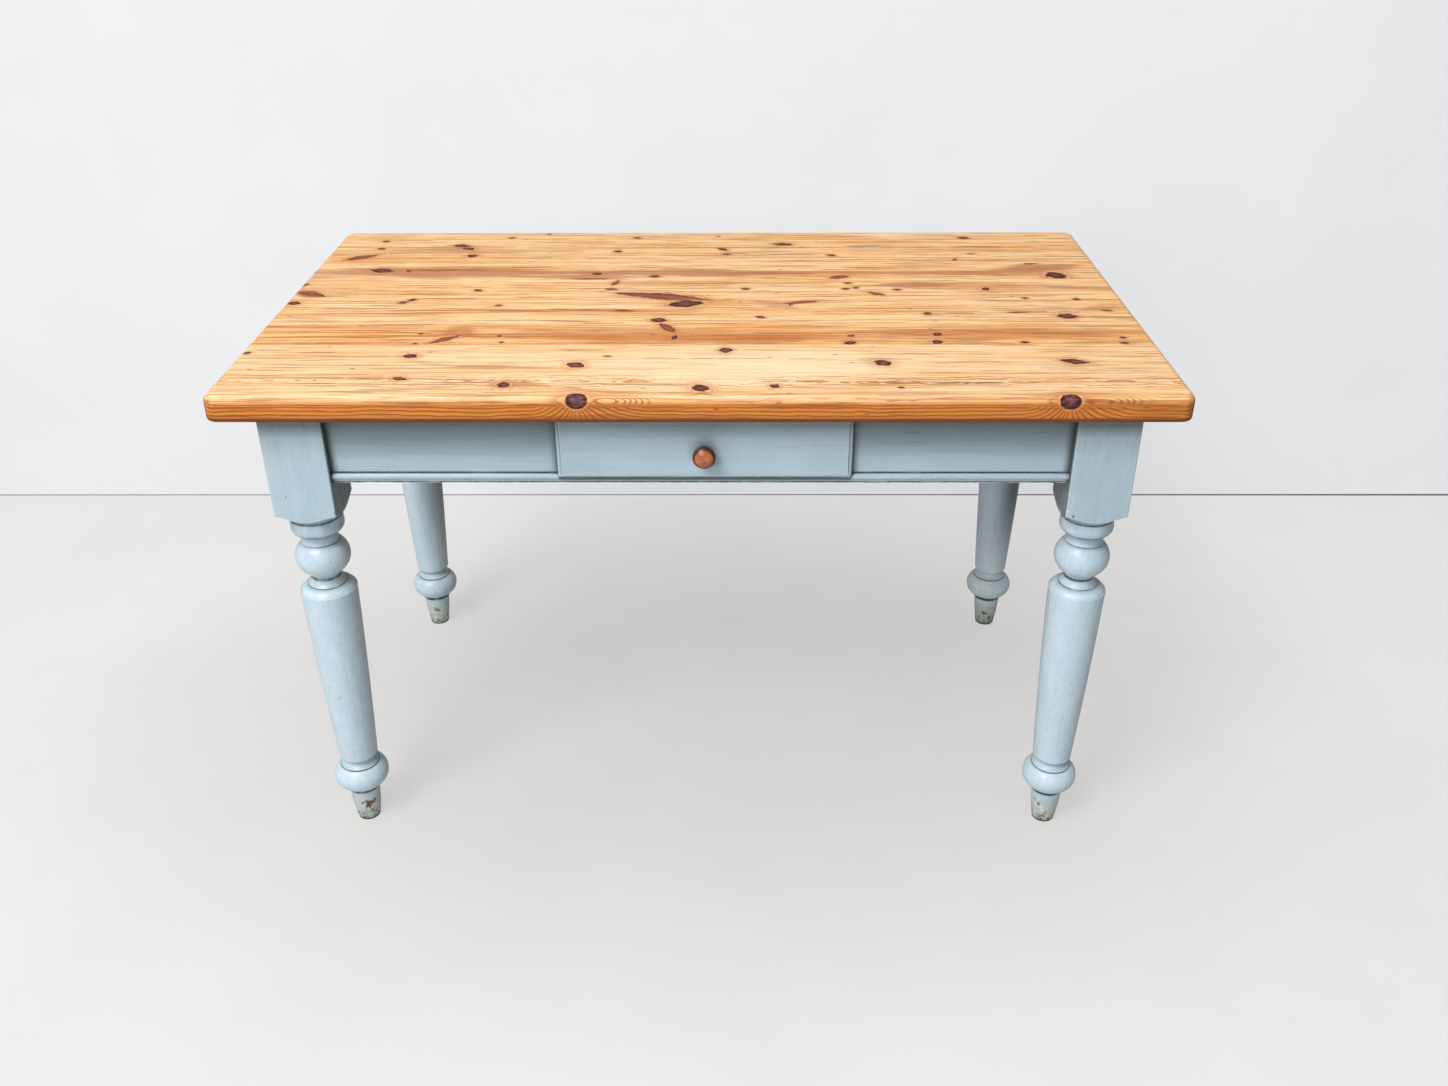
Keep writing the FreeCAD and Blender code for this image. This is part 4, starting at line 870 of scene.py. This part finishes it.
# %% Paint recipe
def painted(name, along, quirks=(), worn_from=0.0, overhang_shadow_from=694, overhang_shadow=0.66, shadow_in=None,
            bare=None, leg=None):
    """Brushed eggshell paint. along is how long a brush mark is on each axis, in millimetres.

    quirks are grooves, as (height, width), that are painted dark as shade. Hard edges are worn above
    worn_from. A band of painted shadow darkens the paint under the top, from overhang_shadow_from up by the
    share sooty. shadow_in and bare say where there is more painted shadow and where there is no paint; bare
    also has the pitch of the grain.
    """
    recipe = Recipe(name)
    point = recipe.place()
    strokes = point.noise(along, 3.0, 0.6)
    clouds = point.noise((90, 90, 120))
    paint = clouds.span(0.3, 0.7, 0.0, 0.7).mix(PAINT, PAINT_SHADE)
    paint = paint.covered(strokes.span(0.4, 0.75, 0.0, 0.22), PAINT_LIGHT)
    # Painted light: paler paint below the head, and paler still on one back leg's lower ring.
    if leg:
        paint = paint.covered(point.z.span(*PALER_BELOW, 0.7, 0.0), PAINT_LIGHT)
    if leg == LIT_RING_LEG:
        paint = paint.covered(point.z.span(*LIT_RING_HEIGHTS, 1.0, 0.0), LIT_RING_PAINT)
    # Painted shade: the grooves are painted dark, in patches.
    patchy = point.noise((40, 40, 9)).span(0.3, 0.5, 0.65, 1.0)
    for height, width in quirks:
        line = abs(point.z - height).span(width * 0.3, width * 0.7, 1.0, 0.0)
        paint = paint.covered(patchy * line, CREASE_SHADE)
    paint = paint.covered(point.noise((5, 5, 8), 3.0, 0.7).span(0.4, 0.7, 0.0, 0.3), PAINT_SHADE)
    relief = strokes * 0.7 + clouds * 0.5
    if leg:
        dents = point.noise((17, 17, 34))
        relief = relief + dents * 9.0
        paint = paint.covered(dents.span(0.5, 0.62) * point.z.span(*DENTED_BELOW, 0.3, 0.1), PAINT_LIGHT)
        paint = shade_leg(paint, point, leg)

    # Painted shade: the paint darkens in hollows and under the overhang, where a wide Ambient Occlusion
    # finds them, and then in a band of painted shadow just under the top.
    hollow = recipe.node("AmbientOcclusion", {"Distance": 50 * MM}, "AO", samples=8)
    paint = paint.covered(hollow.slope(0.15, 0.86, 0.85, 0.0), CREASE_SHADE)
    paint = paint.covered(point.z.slope(overhang_shadow_from, OVERHANG_SHADOW_TO, 0.0, overhang_shadow), DEEP_SHADOW)
    if shadow_in:
        paint = paint.covered(shadow_in(point), DEEP_SHADOW)
    # Painted shade: darker paint in corners and creases, where a narrow Ambient Occlusion finds them.
    corner = recipe.node("AmbientOcclusion", {"Distance": 5 * MM}, "AO", samples=8)
    paint = paint.covered(corner.slope(0.3, 0.93, 0.95, 0.0), CREASE_SHADE)

    if worn_from is not None:
        paint = wear_edges(paint, point, corner, worn_from, through=leg is not None)
    if leg:
        paint = chip(wear_foot(paint, point), point, CHIPS[leg])
    pinholes = point.scatter((21, 21, 26)).span(0.028, 0.045, 0.55, 0.0)
    paint = paint.covered(pinholes * clouds.span(0.52, 0.56), OLD_DIRT)
    if bare:
        where, grain = bare
        raw = point.noise(grain, 3.0, 0.6).span(0.3, 0.7).mix(*RAW_WOOD)
        paint = paint.covered(where(point), raw)
    gloss = strokes.span(0.2, 0.8, 0.25, 0.36)
    return recipe.finish(Base_Color=paint, Roughness=gloss, Normal=relief.bump(0.00014, 0.6))


# %% [markdown]
# ## The legs
# A leg is squared first and then turned. Backwards is easier here: the outline of the turning, read off
# the frame along a diagonal of the square, is spun into a round blank that is fat enough for the corners.
# Four cuts then take the sides of the square head off it. Where a flat side meets the turned shoulder, the
# cut leaves the curved line that shows on every leg like this.

# %% Read the outline of a leg
def leg_outline(name):
    """Half the outline of a turned leg as (radius, height), from the floor up."""
    low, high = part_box(name)
    axis = (low + high) / 2
    outward = Vector((math.copysign(1, axis.x), math.copysign(1, axis.y), 0)).normalized()
    slice_normal = Vector((-outward.y, outward.x, 0))
    copy = bmesh.new()
    copy.from_mesh(nodes[name].data)
    bmesh.ops.remove_doubles(copy, verts=copy.verts, dist=1e-6)
    bmesh.ops.bisect_plane(copy, geom=everything(copy), plane_co=axis, plane_no=slice_normal,
                           clear_outer=True, clear_inner=True)
    start = max((vert for vert in copy.verts if vert.co.z < low.z + LEVEL),
                key=lambda vert: (vert.co - axis).dot(outward))
    outline, seen, current = [], set(), start
    while current is not None:
        outline.append(((current.co - axis).dot(outward), current.co.z))
        seen.add(current)
        onward = [edge.other_vert(current) for edge in current.link_edges if current.co.z < high.z - LEVEL]
        onward = [vert for vert in onward if vert not in seen and (vert.co - axis).dot(outward) > LEVEL]
        current = max(onward, key=lambda vert: vert.co.z, default=None)
    copy.free()
    return outline


outline = leg_outline("leg_front_left")
print("leg outline", len(outline), "points", outline[:2], outline[-2:])


# %% [markdown]
# The outline comes from many small facets, so points that lie almost on a straight line are left out. What
# stays is dense on the curves and sparse on the straight runs, which is what a spin wants.

# %% Spin, square and ease a leg
SPIN_STEPS = 96
TURN_KEPT = math.radians(2.5)
LONGEST_RUN = 12 * MM
CREASE = math.radians(26)
EDGE_EASE = 0.45 * MM


def thin_out(points):
    kept = [points[0]]
    for point, after in zip(points[1:], points[2:]):
        last = Vector(kept[-1])
        incoming, outgoing = Vector(point) - last, Vector(after) - Vector(point)
        if incoming.length < LEVEL or outgoing.length < LEVEL:
            continue
        if incoming.angle(outgoing) > TURN_KEPT or incoming.length > LONGEST_RUN:
            kept.append(point)
    return kept + [points[-1]]


def make_leg(name):
    low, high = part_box(name)
    axis = (low + high) / 2
    points = thin_out(leg_outline(name))
    leg = bmesh.new()
    spine = [Vector((0, 0, low.z))] + [Vector((radius, 0, height)) for radius, height in points]
    spine.append(Vector((0, 0, high.z)))
    verts = [leg.verts.new(point) for point in spine]
    edges = [leg.edges.new(pair) for pair in zip(verts, verts[1:])]
    bmesh.ops.spin(leg, geom=verts + edges, cent=(0, 0, 0), axis=(0, 0, 1), dvec=(0, 0, 0),
                   angle=math.tau, steps=SPIN_STEPS, use_merge=True)
    bmesh.ops.remove_doubles(leg, verts=leg.verts, dist=LEVEL)
    half = (high.x - low.x) / 2
    for side in ((1, 0, 0), (-1, 0, 0), (0, 1, 0), (0, -1, 0)):
        saw(leg, Vector(side) * half, side)
    bmesh.ops.recalc_face_normals(leg, faces=leg.faces)
    shoulder = [edge for edge in leg.edges
                if len(edge.link_faces) == 2 and edge.calc_face_angle() > CREASE
                and any(len(face.verts) > 8 for face in edge.link_faces)]
    bevel(leg, shoulder, EDGE_EASE, 2)
    bmesh.ops.translate(leg, vec=(axis.x, axis.y, 0), verts=leg.verts)
    finish = painted(f"leg_paint_{name[4:]}", (8, 8, 170), quirks=QUIRKS, worn_from=HEAD_FOOT[0], leg=name)
    make_piece(leg, f"turned_{name}", finish, "table", name)


for name in legs:
    make_leg(name)


# %% [markdown]
# ## Finishes for the solids that stay
# Rails, beads, the drawer and everything under the top keep their solids. Painted pieces differ in the
# direction of the brush, which follows the length of the board, and in where their painted shade lies. The
# drawer front is painted on the outside only: its back and the dovetails are bare wood, as the inside of
# any painted drawer is, so its paint stops behind the lip.

# %% Dress the painted solids
# Grooves painted dark as shade: above the bead, at the bead's foot and under the drawer's lip.
APRON_QUIRK = (637, 2.4)
BEAD_QUIRK = (622.6, 3.4)
LIP_QUIRK = (632.4, 5.0)


def dress(names, material):
    for name in names:
        nodes[name].data.materials.clear()
        nodes[name].data.materials.append(material)
    print(material.name, "on", len(names), "solids")


along_x, along_y = (170, 8, 8), (8, 170, 8)
bare_inside = (inside_aprons, (140, 140, 3))
bare_behind = (behind_lip, (150, 3, 3))
dress(["back_apron"],
      painted("back_paint", along_x, quirks=[APRON_QUIRK], worn_from=None, bare=bare_inside))
dress(named("front_top", "front_bottom", "front_panel"),
      painted("front_paint", along_x, quirks=[APRON_QUIRK], worn_from=None, overhang_shadow_from=655, overhang_shadow=0.75,
              shadow_in=beside_leg_and_drawer, bare=bare_inside))
dress(named("side_apron"), painted("side_paint", along_y, worn_from=None, bare=bare_inside))
dress(["front_bead", "back_bead"], painted("bead_paint", along_x, quirks=[BEAD_QUIRK], shadow_in=under_lip))
dress(named("side_bead"), painted("side_bead_paint", along_y))
dress(["drawer_front"], painted("drawer_paint", along_x, quirks=[LIP_QUIRK], overhang_shadow=0.5, bare=bare_behind))


# %% [markdown]
# ## The knob
# The knob is another wood, stained red and polished by years of hands. Its solid is round enough to stay.
# The finish darkens its rim and its neck as painted shade, where they turn away from the light, and
# adds two small dents.

# %% Polished knob
KNOB_SHADE = colour(66, 28, 16)
# A dent is (x, z, width, height) in millimetres, from the middle of the knob.
KNOB_DENTS = [(-2.8, -3.8, 2.2, 2.0), (1.8, -3.5, 4.6, 1.3)]


def knob_finish():
    recipe = Recipe("polished_knob")
    point = recipe.place()
    fibres = point.noise((7, 30, 0.9), 3.0, 0.6)
    wood = fibres.span(0.3, 0.7).mix(colour(190, 110, 68), colour(150, 76, 42))
    wood = wood.covered(point.noise((9, 9, 9)).span(0.35, 0.7, 0.0, 0.5), colour(208, 134, 84))
    middle, widest = (knob_low + knob_high) / 2, (knob_high.x - knob_low.x) / 2
    from_middle = point - (middle.x, 0, middle.z)
    # Painted shade on the rim and the neck.
    rim = (from_middle * (1, 0, 1)).length().span(widest - 4.4, widest - 2.0, 0.0, 0.95)
    neck = point.y.span(knob_low.y + 7, knob_low.y + 12, 0.0, 0.8)
    wood = wood.covered(rim.larger(neck), KNOB_SHADE)
    for x, z, long, high in KNOB_DENTS:
        dent = ((from_middle - (x, 0, z)) / (long / 2, THROUGH, high / 2)).length()
        wood = wood.covered(dent.span(0.5, 1.3, 0.8, 0.0), colour(84, 36, 18))
    return recipe.finish(Base_Color=wood, Roughness=0.32, Normal=fibres.bump(0.0001, 0.5))


dress(["drawer_knob"], knob_finish())


# %% [markdown]
# Bare pine inside the table was never waxed. It is paler and duller than the top, and its rings are quiet.
# Screws and pins are plain steel that has gone dull in places.

# %% Bare pine and steel
raw_pine = {"shades": RAW_STOPS, "roughness": 0.62}
dress(["drawer_back", "drawer_bottom"], pine("raw_pine_across", (40, 560), 9.0, 0.4, 11, **raw_pine))
dress(named("drawer_runner", "drawer_guide", "drawer_kicker", "drawer_stop", "drawer_side", "top_buttons"),
      pine("raw_pine_deep", (40, 560), 7.0, 0.4, 12, along="y", **raw_pine))


def steel():
    recipe = Recipe("old_steel")
    tarnish = recipe.place().noise((3, 3, 3), 3.0)
    metal = tarnish.span(0.35, 0.7).mix(colour(150, 148, 142), colour(96, 86, 76))
    return recipe.finish(Base_Color=metal, Roughness=tarnish.span(0.3, 0.7, 0.35, 0.6), Metallic=1.0)


dress(["button_screws", "kicker_screws", "drawer_bottom_pins"], steel())


# %% [markdown]
# ## Floor and wall
# The table stands on a plain pale floor in front of a plain wall. Both are one-sided: from behind they let
# the view through, so the table can be looked at from any side. In a bright room both look almost even, so
# part of what the camera sees of them is a glow of their own. How much light they throw back on the table
# is set apart from that.

# %% Stage
GLOW_STRENGTH = 1.24
SHADOW_POOL_REACH = (1150, 800, 1)
SHADOW_GAP = colour(120, 120, 122)


def one_sided(name, shade, roughness, glow, bounce, gap=0, shadow_pool=0.0):
    """A pale surface that shows from its front only.

    glow is how much of what the camera sees is its own light, and bounce how much of its shade the table
    gets back. gap is how high the dark line at its foot is, and pool how dark the painted shadow is that
    lies round the middle, under the table.
    """
    recipe = Recipe(name)
    point = recipe.place()
    cloud = point.noise((420, 420, 420), 3.0, 0.6)
    base = cloud.span(0.3, 0.7).mix(shade, [value * 0.97 for value in shade])
    # A painted shadow on the floor, darkest round the middle under the table.
    if shadow_pool:
        spread = (point / SHADOW_POOL_REACH).length()
        base = base.covered(spread.span(0.35, 1.25, shadow_pool, 0.0), (0, 0, 0, 1))
    if gap:
        base = base.covered(point.z < gap, SHADOW_GAP)
    seen = recipe.node("LightPath", {}, "Is Camera Ray")
    dimmed = [value * bounce for value in shade[:3]] + [1.0]
    bright = recipe.node("Emission", {"Color": base, "Strength": GLOW_STRENGTH})
    lifted = recipe.node("MixShader", {0: seen * glow, 1: recipe.shader.outputs[0], 2: bright})
    sides = {0: recipe.geometry("Backfacing"), 1: lifted, 2: recipe.node("BsdfTransparent", {})}
    recipe.feed(recipe.find("OUTPUT_MATERIAL").inputs["Surface"], recipe.node("MixShader", sides))
    return recipe.finish(Base_Color=seen.mix(dimmed, base), Roughness=roughness)


def stage_plane(name, width, height, matrix, material):
    mesh = bmesh.new()
    bmesh.ops.create_grid(mesh, x_segments=1, y_segments=1, size=0.5)
    bmesh.ops.scale(mesh, vec=(width, height, 1), verts=mesh.verts)
    bmesh.ops.transform(mesh, matrix=matrix, verts=mesh.verts)
    plane = to_object(mesh, name, material)
    plane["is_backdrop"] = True
    print(f"{name}: {width} by {height} m")


WALL_DISTANCE = 0.833
WALL_TURN = 0.0021
ROOM = 13.0
RIGHT_ANGLE = math.radians(90)
stage_plane("floor", ROOM, ROOM, Matrix.Translation((0, WALL_DISTANCE - ROOM / 2, 0)),
            one_sided("pale_floor", colour(221, 220, 219), 0.5, 0.68, 0.76, shadow_pool=0.13))
wall_place = (Matrix.Translation((0, WALL_DISTANCE, ROOM / 4)) @ Matrix.Rotation(WALL_TURN, 4, "Z")
              @ Matrix.Rotation(RIGHT_ANGLE, 4, "X"))
stage_plane("wall", ROOM, ROOM / 2, wall_place,
            one_sided("pale_wall", colour(225, 226, 228), 0.8, 0.6, 0.4, gap=2.5))

# %% [markdown]
# ## The camera
# It stands two metres from the middle of the table, a little below the eyes of a person, looks down on it
# and has a slightly wide lens. From there the whole top shows, and all of the front.

# %% Camera
CAMERA_PLACE = (0.05255, -1.92054, 1.43569)
CAMERA_PITCH = math.radians(-29.64)
CAMERA_YAW = 0.012
CAMERA_ROLL = -0.005
camera_data = bpy.data.cameras.new("camera")
camera_data.sensor_width = 36
camera_data.sensor_fit = "HORIZONTAL"
camera_data.lens = 32.39
camera = into_scene(camera_data)
camera.matrix_world = (Matrix.Translation(CAMERA_PLACE) @ Matrix.Rotation(CAMERA_YAW, 4, "Z")
                       @ Matrix.Rotation(RIGHT_ANGLE + CAMERA_PITCH, 4, "X")
                       @ Matrix.Rotation(CAMERA_ROLL, 4, "Z"))
bpy.context.scene.camera = camera
print("camera looks", [round(value, 3) for value in camera.matrix_world.to_3x3() @ Vector((0, 0, -1))])


# %% [markdown]
# ## The light
# The light is soft and comes from three wide lamps: a window high on the left in front, a doorway behind
# the camera, and the ceiling. A pale sky, brighter towards the window, fills the shadows.

# %% Lamps and sky
def soft_lamp(name, place, target, size, power, tint=(1.0, 1.0, 1.0)):
    lamp_data = bpy.data.lights.new(name, "AREA")
    lamp_data.shape = "RECTANGLE"
    lamp_data.size, lamp_data.size_y = size
    lamp_data.energy = power
    lamp_data.color = tint
    lamp = into_scene(lamp_data)
    lamp.location = place
    lamp.rotation_mode = "QUATERNION"
    lamp.rotation_quaternion = (Vector(target) - Vector(place)).to_track_quat("-Z", "Y")
    print(f"{name}: {power} W")


soft_lamp("window", (-2.2, -3.1, 4.9), (0, 0, 0.5), (2.2, 2.2), 220, (1.0, 0.99, 0.975))
soft_lamp("doorway", (-1.6, -4.5, 2.4), (0.2, 0, 0.3), (2.2, 1.8), 50)
soft_lamp("ceiling", (0.0, -0.1, 3.3), (0, 0.1, 0), (3.0, 2.4), 36)

sky = Recipe("pale_sky", bpy.data.worlds, "BACKGROUND")
upward = sky.node("TexCoord", {}, "Generated").dot(Vector((-0.5, -0.6, 0.62)).normalized())
dome, _ = upward.ramp([(0.0, (0.08, 0.082, 0.085, 1)), (1.0, (0.97, 0.985, 1.0, 1))])
bpy.context.scene.world = sky.finish(Color=dome, Strength=0.5)
bpy.context.scene.view_settings.view_transform = "Standard"

# %% Print the box round what renders, and finish
bpy.context.view_layer.update()
low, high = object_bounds()
print("visual box", [round(value, 4) for value in (*low, *high)])
